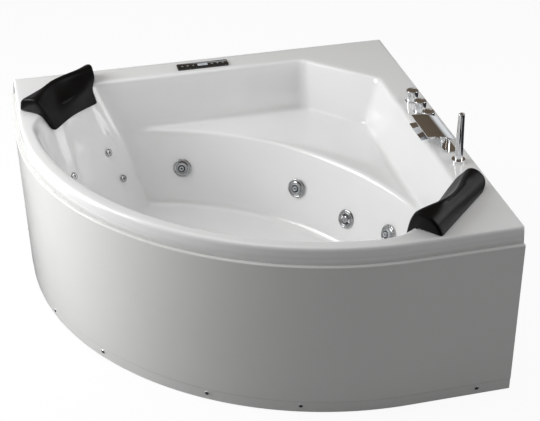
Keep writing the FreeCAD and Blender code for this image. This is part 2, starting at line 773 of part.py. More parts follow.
# ---- jets -----------------------------------------------------------------------------------------
def jet_lift():
    return curved_lift(JET_FLANGE_R, rear_radius(JET_Z))


def jet_body():
    """Flanged cup with its barrel behind the wall."""
    front = jet_lift() + JET_FLANGE_T
    flange = disc(jet_lift(), front, JET_FLANGE_R)
    barrel = disc(-JET_DEPTH, front, JET_BARREL_R)
    bore = disc(-JET_DEPTH + SHELL_T, front + 1, JET_BORE_R)
    return joined([flange, barrel]).cut(bore)


def wall_nut(barrel_r):
    """Back nut that clamps a fitting to the wall."""
    high = -SHELL_T - THREAD_GAP
    nut = disc(high - NUT_T, high, barrel_r + NUT_WALL)
    return nut.cut(disc(high - NUT_T - 1, high + 1, barrel_r + THREAD_GAP))


def jet_face():
    """Ring that turns to open or close the jet, with finger notches in its edge."""
    low = jet_lift() + JET_FLANGE_T + RUN_GAP
    ring = disc(low, low + JET_RING_T, JET_RING_R)
    edge = [e for e in ring.Edges if e.BoundBox.ZMin > low + JET_RING_T - 0.01]
    ring = ring.makeFillet(JET_RING_T * 0.5, edge)
    notch_r = JET_RING_R * 0.16
    notch_at = JET_RING_R * 1.04
    notches = [
        rod(notch_at * cos(45 * i), notch_at * sin(45 * i), low - 1, low + 2 * JET_RING_T, notch_r)
        for i in range(8)
    ]
    return without(ring.cut(disc(low - 1, low + 2 * JET_RING_T, JET_BALL_R + RUN_GAP)), notches)


def jet_ball_height():
    return jet_lift() + JET_FLANGE_T + RUN_GAP + JET_RING_T / 2


def jet_nozzle():
    """Eyeball nozzle in the ring's bore."""
    centre = jet_ball_height()
    ball = Part.makeSphere(JET_BALL_R, V(0, 0, centre))
    ball = ball.common(disc(centre - JET_BALL_R * 0.6, centre + JET_BALL_R * 0.45, JET_BALL_R + 1))
    mouth = V(0, 0, centre + JET_BALL_R * 0.2)
    flare = Part.makeCone(JET_NOZZLE_R, JET_NOZZLE_R * 1.6, JET_BALL_R * 0.3, mouth, UP)
    return ball.cut(disc(centre - JET_BALL_R, centre + JET_BALL_R, JET_NOZZLE_R)).cut(flare)


def suction_body():
    lift = curved_lift(JET_FLANGE_R, rear_radius(SUCTION_Z))
    front = lift + JET_FLANGE_T
    whole = joined([disc(lift, front, JET_FLANGE_R), disc(-SUCTION_DEPTH, front, SUCTION_BARREL_R)])
    return whole.cut(disc(-SUCTION_DEPTH - 1, front + 1, SUCTION_BARREL_R - SHELL_T))


def suction_cover():
    """Perforated cover with a raised cap over its screw."""
    low = curved_lift(JET_FLANGE_R, rear_radius(SUCTION_Z)) + JET_FLANGE_T
    top = low + SUCTION_COVER_T
    cover = disc(low, top, SUCTION_COVER_R)
    cover = cover.makeFillet(SUCTION_COVER_T * 0.6, [e for e in cover.Edges if e.BoundBox.ZMin > top - 0.01])
    cap_top = top + SUCTION_CAP_T
    cap = disc(low, cap_top, SUCTION_CAP_R)
    cap = cap.makeFillet(SUCTION_CAP_T * 0.6, [e for e in cap.Edges if e.BoundBox.ZMin > cap_top - 0.01])
    holes = []
    for count, radius in ((8, SUCTION_CAP_R * 1.45), (14, SUCTION_COVER_R * 0.76)):
        for i in range(count):
            turn = 360.0 * i / count
            holes.append(rod(radius * cos(turn), radius * sin(turn), low - 1, top + 1, SUCTION_SLOT_R))
    return without(joined([cover, cap]), holes)


def small_jet_face():
    face = disc(0, SMALL_JET_T, SMALL_JET_R)
    edge = [e for e in face.Edges if e.BoundBox.ZMin > SMALL_JET_T - 0.01]
    face = face.makeFillet(SMALL_JET_T * 0.6, edge)
    return face.cut(disc(-1, SMALL_JET_T + 1, SMALL_JET_BORE))


def small_jet_seats():
    return [on_left_backrest(along, z) for z, *places in SMALL_JET_ROWS for along in places]


def back_jet_pipes():
    """Barrels of the four small jets behind the left backrest, on their two pipes and the link."""
    pieces = []
    for z, *places in SMALL_JET_ROWS:
        ends = []
        for along in places:
            seat = on_left_backrest(along, z)
            barrel = disc(-SMALL_BARREL_DEPTH - BACK_PIPE_R / 2, 0, SMALL_BARREL_R)
            pieces.append(seated(barrel, seat))
            ends.append(seat[0] - seat[1] * (SMALL_BARREL_DEPTH + BACK_PIPE_R))
        run = ends[0] - ends[1]
        reach = run.Length + 2 * BACK_PIPE_R
        start = ends[1] - run.normalize() * BACK_PIPE_R
        pieces.append(Part.makeCylinder(BACK_PIPE_R, reach, start, run))
    upper = on_left_backrest(0, SMALL_JET_ROWS[0][0])
    lower = on_left_backrest(0, SMALL_JET_ROWS[1][0])
    top = upper[0] - upper[1] * (SMALL_BARREL_DEPTH + BACK_PIPE_R)
    foot_end = lower[0] - lower[1] * (SMALL_BARREL_DEPTH + BACK_PIPE_R)
    pieces.append(Part.makeCylinder(BACK_PIPE_R, (foot_end - top).Length, top, foot_end - top))
    whole = joined(pieces)
    bore = [seated(disc(-SMALL_BARREL_DEPTH, 1, SMALL_JET_BORE), seat) for seat in small_jet_seats()]
    return without(whole, bore)


# ---- pipework behind the rear wall ----------------------------------------------------------------
def manifold_circle():
    """Radius and height of the water manifold, on the jets' own axes."""
    radius = rear_radius(JET_Z) + MANIFOLD_OFFSET * cos(WELL_DRAFT)
    return radius, JET_Z - MANIFOLD_OFFSET * sin(WELL_DRAFT)


def ring_point(radius, turn, z):
    return V(WELL_CENTRE + radius * cos(turn), WELL_CENTRE + radius * sin(turn), z)


def ring_tube(radius, z, tube_r, turns):
    """Tube bent round the rear wall's axis."""
    start, end = turns
    way = V(-sin(start), cos(start), 0)
    section = Part.Face(Part.Wire(Part.makeCircle(tube_r, ring_point(radius, start, z), way)))
    return section.revolve(V(WELL_CENTRE, WELL_CENTRE, 0), UP, end - start)


def water_manifold():
    """Bent tube with a stub to each jet's barrel."""
    radius, z = manifold_circle()
    pieces = [ring_tube(radius, z, MANIFOLD_R, MANIFOLD_TURNS)]
    for turn in JET_TURNS:
        stub = disc(-MANIFOLD_OFFSET, -JET_DEPTH, STUB_R)
        pieces.append(seated(stub, on_rear_wall(turn, JET_Z)))
    return joined(pieces)


def air_circle():
    return rear_radius(JET_Z) + AIR_OFFSET * cos(WELL_DRAFT)


def air_manifold():
    """Air tube above the jets, with a drop tube to the side of each barrel."""
    radius = air_circle()
    pieces = [ring_tube(radius, AIR_Z, AIR_R, AIR_TURNS)]
    for turn in JET_TURNS:
        p = ring_point(radius, turn, 0)
        pieces.append(rod(p.x, p.y, JET_Z - AIR_OFFSET * sin(WELL_DRAFT), AIR_Z, AIR_STUB_R))
    barrels = [seated(disc(-JET_DEPTH, 0, JET_BARREL_R), on_rear_wall(t, JET_Z)) for t in JET_TURNS]
    return without(joined(pieces), barrels)


def pump_axis_z():
    return SHELF_TOP + PUMP_AXIS_UP


def pressure_pipe():
    """From the top of the pump's wet end over to the manifold's middle."""
    radius, z = manifold_circle()
    middle = ring_point(radius, JET_TURNS[1], z)
    x = WET_X + WET_L / 2
    high = pump_axis_z() + WET_R + WET_BOSS_L + 2.5 * PIPE_R - 40
    start = pump_axis_z() + WET_R + WET_BOSS_L - 40
    points = [
        (x, PUMP_Y, start),
        (x, PUMP_Y, high),
        (middle.x, middle.y, high),
        (middle.x, middle.y, z),
    ]
    return bent_tube("pressure pipe", points, PIPE_R, 1.6 * PIPE_R).cut(water_manifold())


def suction_pipe():
    """From the suction fitting, low under the manifold, to the pump's inlet."""
    point, facing = on_rear_wall(SUCTION_TURN, SUCTION_Z)
    start = point - facing * SUCTION_DEPTH
    out = point - facing * (SUCTION_DEPTH + 1.6 * PIPE_R)
    low = SHELF_TOP + 1.8 * PIPE_R
    turn_x = WET_X - WET_BOSS_L - 2.6 * PIPE_R
    points = [
        (start.x, start.y, start.z),
        (out.x, out.y, out.z),
        (out.x, out.y, low),
        (turn_x, PUMP_Y, low),
        (turn_x, PUMP_Y, pump_axis_z()),
        (WET_X - WET_BOSS_L, PUMP_Y, pump_axis_z()),
    ]
    return bent_tube("suction pipe", points, PIPE_R, 1.4 * PIPE_R)


def air_hose():
    """From the blower's lid to the air manifold."""
    joint = ring_point(air_circle(), 60.0, AIR_Z)
    top = SHELF_TOP + BLOWER_H
    high = top + 40
    points = [
        (BLOWER_X, BLOWER_Y, top),
        (BLOWER_X, BLOWER_Y, high),
        (BLOWER_X - 350, BLOWER_Y, high),
        (joint.x, joint.y, high),
        (joint.x, joint.y, AIR_Z),
    ]
    manifold = ring_tube(air_circle(), AIR_Z, AIR_R, AIR_TURNS)
    return bent_tube("air hose", points, AIR_HOSE_R, 60.0).cut(manifold)


def floor_air_hose():
    """From the air manifold down behind the rear wall and under the base board to the floor jets."""
    rise = ring_point(air_circle(), 73.0, AIR_Z)
    (x1, y1), (x2, y2) = FLOOR_JETS
    middle = (x1 + x2) / 2
    points = [
        (x2 + 20, y2 - 20, FLOOR_HOSE_Z),
        (middle + 8, middle - 2, FLOOR_HOSE_Z),
        (x1, y1, FLOOR_HOSE_Z),
        (rise.x, rise.y, FLOOR_HOSE_Z),
        (rise.x, rise.y, AIR_Z),
    ]
    manifold = ring_tube(air_circle(), AIR_Z, AIR_R, AIR_TURNS)
    return bent_tube("floor air hose", points, FLOOR_HOSE_R, 60.0).cut(manifold)


def floor_jets():
    jets = []
    for x, y in FLOOR_JETS:
        face = rod(x, y, FLOOR_Z, FLOOR_Z + FLOOR_JET_T, SMALL_JET_R)
        barrel = rod(x, y, FLOOR_HOSE_Z + FLOOR_HOSE_R, FLOOR_Z + FLOOR_JET_T, FLOOR_BARREL_R)
        bore = rod(x, y, FLOOR_HOSE_Z, FLOOR_Z + 2 * FLOOR_JET_T, SMALL_JET_BORE)
        jets.append(joined([face, barrel]).cut(bore))
    return jets


# ---- pump, blower, control box ---------------------------------------------------------------------
def along_x(x_low, x_high, radius):
    """Cylinder on the pump's axis."""
    return Part.makeCylinder(radius, x_high - x_low, V(x_low, PUMP_Y, pump_axis_z()), V(1, 0, 0))


def pump_wet_end():
    """Hollow volute with its inlet towards -X and its outlet upwards."""
    z = pump_axis_z()
    x = WET_X + WET_L / 2
    top = z + WET_R + WET_BOSS_L - 40
    outer = joined([
        along_x(WET_X, WET_X + WET_L, WET_R),
        along_x(WET_X - WET_BOSS_L, WET_X + 1, WET_BOSS_R),
        rod(x, PUMP_Y, z + WET_R - 12, top, WET_BOSS_R),
    ])
    inside = along_x(WET_X + WET_WALL, WET_X + WET_L - WET_WALL, WET_R - WET_WALL)
    inlet = along_x(WET_X - WET_BOSS_L - 1, WET_X + WET_WALL + 1, PIPE_R)
    outlet = rod(x, PUMP_Y, z + WET_R - 2 * WET_WALL, top + 1, PIPE_R)
    shaft = along_x(WET_X, WET_X + WET_L + 1, SHAFT_R + RUN_GAP)
    return without(outer, [inside, inlet, outlet, shaft])


def pump_motor():
    """Ribbed motor with a fan cowl, a terminal box and its foot."""
    low = WET_X + WET_L
    high = low + MOTOR_L
    z = pump_axis_z()
    pieces = [along_x(low, high, MOTOR_R)]
    for i in range(5):
        x = low + 30 + 18 * i
        pieces.append(along_x(x, x + 6, MOTOR_RIB_R))
    pieces.append(along_x(high - 46, high, MOTOR_RIB_R))
    pieces.append(box((low + 40, PUMP_Y - 28, z + 53), (low + 120, PUMP_Y + 28, z + MOTOR_R + 24)))
    pieces.append(box((low + 20, PUMP_Y - 50, SHELF_TOP), (low + 130, PUMP_Y + 50, z - 35)))
    return joined(pieces).cut(along_x(low - 1, low + MOTOR_L * 0.6, SHAFT_R + RUN_GAP))


def pump_impeller():
    """Backplate with curved-off vanes, a hub and the shaft into the motor."""
    face = WET_X + WET_L - WET_WALL - 3
    plate = along_x(face - IMPELLER_T, face, IMPELLER_R)
    shaft = along_x(face - IMPELLER_T - VANE_H, WET_X + WET_L + MOTOR_L * 0.6 - 3, SHAFT_R)
    hub = along_x(face - IMPELLER_T - VANE_H, face, SHAFT_R * 2)
    pieces = [plate, shaft, hub]
    z = pump_axis_z()
    for i in range(VANE_COUNT):
        low = (face - IMPELLER_T - VANE_H, PUMP_Y + SHAFT_R, z - VANE_T / 2)
        vane = box(low, (face, PUMP_Y + IMPELLER_R - 2, z + VANE_T / 2))
        vane.rotate(V(0, PUMP_Y, z), V(1, 0, 0), 360.0 * i / VANE_COUNT)
        pieces.append(vane)
    return joined(pieces)


def air_blower():
    """Round blower housing with a collar for its hose in the lid and slots low in its side."""
    top = SHELF_TOP + BLOWER_H
    shell = rod(BLOWER_X, BLOWER_Y, SHELF_TOP, top, BLOWER_R)
    edge = [e for e in shell.Edges if e.BoundBox.ZMin > top - 0.01]
    shell = shell.makeFillet(12, edge)
    inside = rod(BLOWER_X, BLOWER_Y, SHELF_TOP + BLOWER_WALL, top - 14, BLOWER_R - BLOWER_WALL)
    outlet = rod(BLOWER_X, BLOWER_Y, top - 20, top + 1, AIR_HOSE_R - 3)
    pin = rod(BLOWER_X, BLOWER_Y, SHELF_TOP + BLOWER_WALL, SHELF_TOP + 30, SHAFT_R - 2)
    slots = []
    for i in range(12):
        slot = box((BLOWER_R - 8, -5, SHELF_TOP + 20), (BLOWER_R + 4, 5, SHELF_TOP + 50))
        slot.rotate(V(0, 0, 0), UP, 30.0 * i)
        slot.translate(V(BLOWER_X, BLOWER_Y, 0))
        slots.append(slot)
    return joined([without(shell, [inside, outlet] + slots), pin])


def blower_fan():
    """Fan wheel on the blower's pin."""
    low = SHELF_TOP + 12
    hub = rod(BLOWER_X, BLOWER_Y, low, low + FAN_H, SHAFT_R * 2)
    plate = rod(BLOWER_X, BLOWER_Y, low, low + 4, FAN_R)
    pieces = [hub, plate]
    for i in range(10):
        blade = box((SHAFT_R, -1.5, low), (FAN_R - 1, 1.5, low + FAN_H))
        blade.rotate(V(0, 0, 0), UP, 36.0 * i)
        blade.translate(V(BLOWER_X, BLOWER_Y, 0))
        pieces.append(blade)
    return joined(pieces).cut(rod(BLOWER_X, BLOWER_Y, low - 1, low + FAN_H + 1, SHAFT_R - 2 + RUN_GAP))


def equipment_shelf():
    """Board across the back corner of the frame."""
    far = RAIL_FAR
    board = prism([(100, far), (100, 560), (400, 320), (far, 320), (far, far)], RAIL_TOP, SHELF_TOP)
    half = RAIL / 2 + HOLE_GAP
    posts = [box((x - half, y - half, 0), (x + half, y + half, RIM_Z)) for x, y in upright_places()]
    return without(board, posts)


def box_corner():
    return V(BOX_LOW[0], BOX_LOW[1], SHELF_TOP)


def gland_places():
    """The two glands in the side of the control box that faces -X, and the one that faces +X."""
    low = box_corner()
    y = low.y + BOX_SIZE[1] / 2
    return [
        (V(low.x, y - 25, low.z + 60), V(-1, 0, 0)),
        (V(low.x, y + 25, low.z + 60), V(-1, 0, 0)),
        (V(low.x + BOX_SIZE[0], y, low.z + 60), V(1, 0, 0)),
    ]


def control_box():
    """Hollow box, its lid, and three cable glands."""
    low = box_corner()
    high = low + V(*BOX_SIZE)
    lid_z = high.z - 12
    body = box(low, (high.x, high.y, lid_z))
    inner_high = (high.x - BOX_WALL, high.y - BOX_WALL, lid_z + 1)
    body = body.cut(box(low + V(BOX_WALL, BOX_WALL, BOX_WALL), inner_high))
    lid = box((low.x, low.y, lid_z), high)
    glands = []
    for point, way in gland_places():
        gland = Part.makeCylinder(GLAND_R, GLAND_L, point, way)
        gland = gland.cut(Part.makeCylinder(GLAND_BORE, GLAND_L, point, way))
        glands.append(gland)
        body = body.cut(Part.makeCylinder(GLAND_BORE, 2 * BOX_WALL, point + way * BOX_WALL, way * -1))
    return [body, lid] + glands


def wiring():
    """Panel lead down to the control box, and the pump's lead."""
    panel_gland, pump_gland = gland_places()[0], gland_places()[2]
    p = panel_gland[0] + panel_gland[1] * GLAND_L
    neck = RIM_Z - PANEL_NECK_L
    lead = bent_tube("panel lead", [
        (PANEL_X, PANEL_Y, neck),
        (PANEL_X, PANEL_Y, neck - 120),
        (PANEL_X + 40, PANEL_Y - 30, p.z + 90),
        (PANEL_X + 70, p.y, p.z),
        (p.x, p.y, p.z),
    ], CABLE_R, 60.0)
    q = pump_gland[0] + pump_gland[1] * GLAND_L
    low = WET_X + WET_L
    side = PUMP_Y + 28
    z = pump_axis_z() + MOTOR_R + 8
    pump_lead = bent_tube("pump lead", [
        (q.x, q.y, q.z),
        (q.x + 60, q.y, q.z),
        (q.x + 130, q.y - 60, z),
        (low + 80, side + 70, z),
        (low + 80, side, z),
    ], CABLE_R, 60.0)
    return [lead, pump_lead]


# ---- drain and overflow ------------------------------------------------------------------------------
def drain_flange():
    ring = collar(DRAIN_X, DRAIN_Y, FLOOR_Z, FLOOR_Z + DRAIN_FLANGE_T, DRAIN_FLANGE_R, DRAIN_BORE_R)
    rim = [e for e in ring.Edges if e.BoundBox.ZMin > FLOOR_Z + DRAIN_FLANGE_T - 0.01
           and e.BoundBox.XLength > 2 * DRAIN_FLANGE_R - 1]
    return ring.makeFillet(DRAIN_FLANGE_T * 0.6, rim)


def drain_port_z():
    """Height of the overflow hose where it joins the drain."""
    return FLOOR_Z - DRAIN_LENGTH + OVERFLOW_HOSE_R + 5


def drain_body():
    """Tube through the bottom, with its clamping collar and a spider that guides the plug."""
    low = FLOOR_Z - DRAIN_LENGTH
    x, y = DRAIN_X, DRAIN_Y
    tube = collar(x, y, low, FLOOR_Z, DRAIN_TUBE_R, DRAIN_BORE_R)
    clamp = collar(x, y, BOARD_TOP - 8, BOARD_TOP, DRAIN_NUT_R, DRAIN_BORE_R)
    z = FLOOR_Z - 34
    bars = [
        box((x - DRAIN_BORE_R - 1, y - 2, z), (x + DRAIN_BORE_R + 1, y + 2, z + 6)),
        box((x - 2, y - DRAIN_BORE_R - 1, z), (x + 2, y + DRAIN_BORE_R + 1, z + 6)),
        rod(x, y, z, z + 6, PLUG_STEM_R * 2),
    ]
    whole = joined([tube, clamp] + bars).cut(rod(x, y, z - 1, z + 7, PLUG_STEM_R + RUN_GAP))
    port = Part.makeCylinder(OVERFLOW_HOSE_R - 3, DRAIN_TUBE_R, V(x, y, drain_port_z()), V(-1, -1, 0))
    return whole.cut(port)


def drain_plug():
    """Domed plug on its stem, standing just off the flange."""
    low = FLOOR_Z + DRAIN_FLANGE_T + RUN_GAP
    dome = rod(DRAIN_X, DRAIN_Y, low, low + PLUG_T, PLUG_R)
    dome = dome.makeFillet(PLUG_T * 0.7, [e for e in dome.Edges if e.BoundBox.ZMin > low + PLUG_T - 0.01])
    stem = rod(DRAIN_X, DRAIN_Y, FLOOR_Z - 40, low + 1, PLUG_STEM_R)
    return joined([dome, stem])


def drain_trap():
    """Cup under the drain with the waste outlet towards the back wall."""
    x, y = DRAIN_X, DRAIN_Y
    top = FLOOR_Z - DRAIN_LENGTH
    cup = rod(x, y, top - TRAP_H, top, TRAP_R)
    tail = Part.makeCylinder(WASTE_R, WASTE_END_Y - y, V(x, y, WASTE_Z), V(0, 1, 0))
    hollow = rod(x, y, top - TRAP_H + 3, top + 1, TRAP_R - 3)
    bore = Part.makeCylinder(WASTE_R - 3, WASTE_END_Y - y + 1, V(x, y, WASTE_Z), V(0, 1, 0))
    lid = collar(x, y, top - 4, top, TRAP_R, DRAIN_BORE_R)
    stop_y = WASTE_END_Y - WASTE_SOCKET_L - WASTE_STOP_T
    stop = Part.makeCylinder(WASTE_STOP_R, WASTE_STOP_T, V(x, stop_y, WASTE_Z), V(0, 1, 0))
    return joined([without(joined([cup, tail, stop]), [hollow, bore]), lid])


def overflow_seat():
    return on_front_wall(OVERFLOW_TURN, OVERFLOW_Z)


def overflow_plate():
    lift = curved_lift(OVERFLOW_PLATE_R, front_radius(OVERFLOW_Z))
    plate = disc(lift, lift + OVERFLOW_PLATE_T, OVERFLOW_PLATE_R)
    edge = [e for e in plate.Edges if e.BoundBox.ZMin > lift + OVERFLOW_PLATE_T - 0.01]
    plate = plate.makeFillet(OVERFLOW_PLATE_T * 0.5, edge)
    return seated(plate.cut(disc(-1, 2 * OVERFLOW_PLATE_T, PLUG_STEM_R + RUN_GAP)), overflow_seat())


def overflow_body():
    """Elbow housing behind the front wall, with its tail pointing down."""
    lift = curved_lift(OVERFLOW_PLATE_R, front_radius(OVERFLOW_Z))
    housing = disc(-OVERFLOW_DEPTH, lift, OVERFLOW_BODY_R)
    housing = housing.cut(disc(-OVERFLOW_DEPTH + 4, lift + 1, OVERFLOW_BODY_R - 4))
    spindle_guide = disc(-OVERFLOW_DEPTH + 2, -OVERFLOW_DEPTH + 10, PLUG_STEM_R * 2)
    housing = joined([housing, spindle_guide])
    housing = seated(housing, overflow_seat())
    start = overflow_tail()
    tail = rod(start.x, start.y, start.z, OVERFLOW_Z - 12, OVERFLOW_HOSE_R)
    inside = seated(disc(-OVERFLOW_DEPTH + 4, 1, OVERFLOW_BODY_R - 4), overflow_seat())
    tail = tail.cut(inside).cut(rod(start.x, start.y, start.z - 1, OVERFLOW_Z, OVERFLOW_HOSE_R - 3))
    stem = seated(disc(-OVERFLOW_DEPTH + 1, 20, PLUG_STEM_R + RUN_GAP), overflow_seat())
    return joined([housing.cut(stem), tail.cut(stem)])


def overflow_tail():
    """Lower end of the overflow's tail."""
    point, facing = overflow_seat()
    middle = point - facing * (OVERFLOW_DEPTH * 0.55)
    return V(middle.x, middle.y, OVERFLOW_Z - 42)


def overflow_knob():
    """Turning knob on its spindle, with two finger flats."""
    low = curved_lift(OVERFLOW_PLATE_R, front_radius(OVERFLOW_Z)) + OVERFLOW_PLATE_T + RUN_GAP
    top = low + OVERFLOW_KNOB_T
    knob = disc(low, top, OVERFLOW_KNOB_R)
    knob = knob.makeFillet(3, [e for e in knob.Edges if e.BoundBox.ZMin > top - 0.01])
    flat = OVERFLOW_KNOB_R * 0.75
    knob = knob.cut(box((flat, -40, low + 5), (40, 40, top + 1)))
    knob = knob.cut(box((-40, -40, low + 5), (-flat, 40, top + 1)))
    spindle = disc(-OVERFLOW_DEPTH + 1 + RUN_GAP, low + 1, PLUG_STEM_R)
    return seated(joined([knob, spindle]), overflow_seat())


def front_point(radius, aside, z):
    """A point near the middle of the front, by its radius and its place to one side."""
    way = V(cos(OVERFLOW_TURN), sin(OVERFLOW_TURN), 0)
    sideways = V(-sin(OVERFLOW_TURN), cos(OVERFLOW_TURN), 0)
    p = V(ARC_CENTRE, ARC_CENTRE, z) + way * radius + sideways * aside
    return p.x, p.y, p.z


def overflow_hose():
    """Down the outside of the front wall and in to the drain."""
    tail = overflow_tail()
    z = drain_port_z()
    drain_r = V(DRAIN_X - ARC_CENTRE, DRAIN_Y - ARC_CENTRE, 0).Length
    inner = RAIL_FRONT_R - RAIL - 2.5 * OVERFLOW_HOSE_R
    points = [
        (tail.x, tail.y, tail.z),
        (tail.x, tail.y, tail.z - 60),
        front_point(inner, 0, RAIL_TOP + 140),
        front_point(inner - 4, 0, z),
        front_point(drain_r, 0, z),
    ]
    tube = bent_tube("overflow hose", points, OVERFLOW_HOSE_R, 120.0)
    return tube.cut(rod(DRAIN_X, DRAIN_Y, 0, FLOOR_Z, DRAIN_TUBE_R))


def drain_cable():
    """Sheathed cable from the overflow housing to the drain's side."""
    seat = overflow_seat()
    start = seat[0] - seat[1] * OVERFLOW_DEPTH
    way = seat[1] * -12
    drain_r = V(DRAIN_X - ARC_CENTRE, DRAIN_Y - ARC_CENTRE, 0).Length
    z = drain_port_z() + OVERFLOW_HOSE_R + CABLE_R + RUN_GAP
    out = start + way
    points = [
        (start.x, start.y, start.z),
        (out.x, out.y, out.z),
        front_point(V(out.x - ARC_CENTRE, out.y - ARC_CENTRE, 0).Length + 4, 6, OVERFLOW_Z - 60),
        front_point(front_radius(OVERFLOW_Z - 230) + CABLE_OFF, 30, OVERFLOW_Z - 230),
        front_point(front_radius(RAIL_TOP + 70) + CABLE_OFF, 34, RAIL_TOP + 70),
        front_point(front_radius(RAIL_TOP) + CABLE_OFF, 34, z + 8),
        front_point(drain_r + 3.3 * CABLE_OFF, 30, z),
        front_point(drain_r + 8, 8, z),
    ]
    tube = bent_tube("drain cable", points, CABLE_R, 80.0)
    return tube.cut(rod(DRAIN_X, DRAIN_Y, 0, FLOOR_Z, DRAIN_TUBE_R))


# ---- taps, spout, hand shower ------------------------------------------------------------------------
def tap_handle(y):
    """Knob and its stem into the valve."""
    low = RIM_Z + TAP_FLANGE_T + RUN_GAP
    knob = rod(TAP_X, y, low, low + KNOB_H, KNOB_R)
    knob = knob.makeFillet(1.5, [e for e in knob.Edges if e.BoundBox.ZMin > low + KNOB_H - 0.01])
    groove = collar(TAP_X, y, low + 4, low + 7, KNOB_R + 1, KNOB_R - 1.2)
    mark = box((TAP_X - KNOB_R - 1, y - 1, low + KNOB_H - 14), (TAP_X - KNOB_R + 1, y + 1, low + KNOB_H - 5))
    stem = rod(TAP_X, y, RIM_Z - TAP_STEM_L, low + 1, TAP_STEM_R)
    return joined([without(knob, [groove, mark]), stem])


def tap_valve(y):
    """Valve under the deck, its clamping nut as part of it."""
    low = RIM_Z - VALVE_DEPTH
    body = joined([
        rod(TAP_X, y, low, RIM_Z, VALVE_R),
        rod(TAP_X, y, DECK_UNDER - TAP_NUT_T, DECK_UNDER, TAP_NUT_R),
    ])
    return body.cut(rod(TAP_X, y, RIM_Z - TAP_STEM_L - 1, RIM_Z + 1, TAP_STEM_R + RUN_GAP))


def mixer_pipe():
    """Inlet tails, the cross pipes between the valves, and the pipe to the spout."""
    low = RIM_Z - VALVE_DEPTH
    hot, middle, cold = TAP_Y
    pieces = []
    for y in (hot, cold):
        pieces.append(rod(TAP_X, y, low - INLET_L, low, INLET_R))
    for near, far in ((cold, middle), (middle, hot)):
        start = V(TAP_X, near + VALVE_R * 0.6, MIXER_PIPE_Z)
        cross = Part.makeCylinder(MIXER_PIPE_R, far - near - VALVE_R * 1.2, start, V(0, 1, 0))
        ends = [rod(TAP_X, y, low, RIM_Z, VALVE_R) for y in (near, far)]
        pieces.append(without(cross, ends))
    aside = TAP_X - 28
    tail = RIM_Z - POST_TAIL_L
    pipe = bent_tube("spout pipe", [
        (TAP_X, middle, low),
        (TAP_X, middle, low - 25),
        (aside, middle, low - 25),
        (aside, POST_Y, low - 25),
        (POST_X, POST_Y, low - 25),
        (POST_X, POST_Y, tail),
    ], MIXER_PIPE_R, 18.0)
    pieces.append(pipe)
    nipple = bent_tube("hose nipple", [
        (TAP_X - VALVE_R * 0.6, middle, MIXER_PIPE_Z),
        (hose_end().x, middle, MIXER_PIPE_Z),
        tuple(hose_end()),
    ], HOSE_R, 18.0)
    pieces.append(nipple.cut(rod(TAP_X, middle, low, RIM_Z, VALVE_R)))
    return pieces


def hose_end():
    """Where the shower hose joins the diverter's nipple, facing down."""
    return V(TAP_X - 52, TAP_Y[1], MIXER_PIPE_Z - 35)


def plate_curve(z_rise):
    """Line of the waterfall plate's underside, front to back, raised by z_rise."""
    front = V(SPOUT_FRONT_X, 0, RIM_Z + 60 + z_rise)
    bow = V((SPOUT_FRONT_X + SPOUT_BACK_X) / 2 + 8, 0, RIM_Z + 53.5 + z_rise)
    back = V(SPOUT_BACK_X, 0, RIM_Z + 39 + z_rise)
    return front, bow, back


def plate_slab(y_low, y_high, thickness):
    """Everything from the plate's underside up to a thickness, over a stretch along Y."""
    front, bow, back = plate_curve(0)
    front2, bow2, back2 = plate_curve(thickness)
    edges = [
        Part.Arc(front, bow, back).toShape(),
        Part.LineSegment(back, back2).toShape(),
        Part.Arc(back2, bow2, front2).toShape(),
        Part.LineSegment(front2, front).toShape(),
    ]
    face = Part.Face(Part.Wire(edges))
    face.translate(V(0, y_low, 0))
    return face.extrude(V(0, y_high - y_low, 0))


def spout_plate():
    return plate_slab(SPOUT_Y[0], SPOUT_Y[1], SPOUT_T)


def spout_tray():
    """Lower plate that carries the water forward, with the block that holds the upper plate."""
    block_x = SPOUT_BACK_X - 34
    points = [
        (TRAY_FRONT_X, TRAY_Z - 7),
        (TRAY_FRONT_X, TRAY_Z - 7 + SPOUT_T),
        (block_x, TRAY_Z + SPOUT_T),
        (block_x, RIM_Z + 70),
        (SPOUT_BACK_X, RIM_Z + 70),
        (SPOUT_BACK_X, TRAY_Z),
        (block_x, TRAY_Z),
    ]
    corners = [V(x, TRAY_Y[0], z) for x, z in points]
    tray = Part.Face(Part.makePolygon(corners + corners[:1])).extrude(V(0, TRAY_Y[1] - TRAY_Y[0], 0))
    over = plate_slab(SPOUT_Y[0] - 10, SPOUT_Y[1] + 40, 60)
    return tray.cut(over)


def spout_post():
    """Round post on the base plate, with its tail through the deck."""
    low = RIM_Z + SPOUT_BASE_T
    post = rod(POST_X, POST_Y, low, TRAY_Z, POST_R)
    tail = rod(POST_X, POST_Y, RIM_Z - POST_TAIL_L, low + 1, POST_TAIL_R)
    return joined([post, tail])


def deck_flanges():
    """Chrome pieces that lie on the deck: a ring under each knob, the spout's plate, the shower's ring."""
    pieces = []
    for y in TAP_Y:
        ring = collar(TAP_X, y, RIM_Z, RIM_Z + TAP_FLANGE_T, TAP_FLANGE_R, TAP_STEM_R + RUN_GAP)
        pieces.append(ring)
    x_low, y_low, x_high, y_high = SPOUT_BASE
    plate = box((x_low, y_low, RIM_Z), (x_high, y_high, RIM_Z + SPOUT_BASE_T))
    pieces.append(plate.cut(rod(POST_X, POST_Y, RIM_Z - 1, RIM_Z + 10, POST_TAIL_R + THREAD_GAP)))
    top = RIM_Z + HAND_RING_T
    ring = collar(HAND_X, HAND_Y, DECK_UNDER - 14, top, HAND_NECK_R + 3, HAND_NECK_R + RUN_GAP)
    cup = collar(HAND_X, HAND_Y, RIM_Z, top, HAND_RING_R, HAND_NECK_R + RUN_GAP)
    pieces.append(joined([ring, cup]))
    return pieces


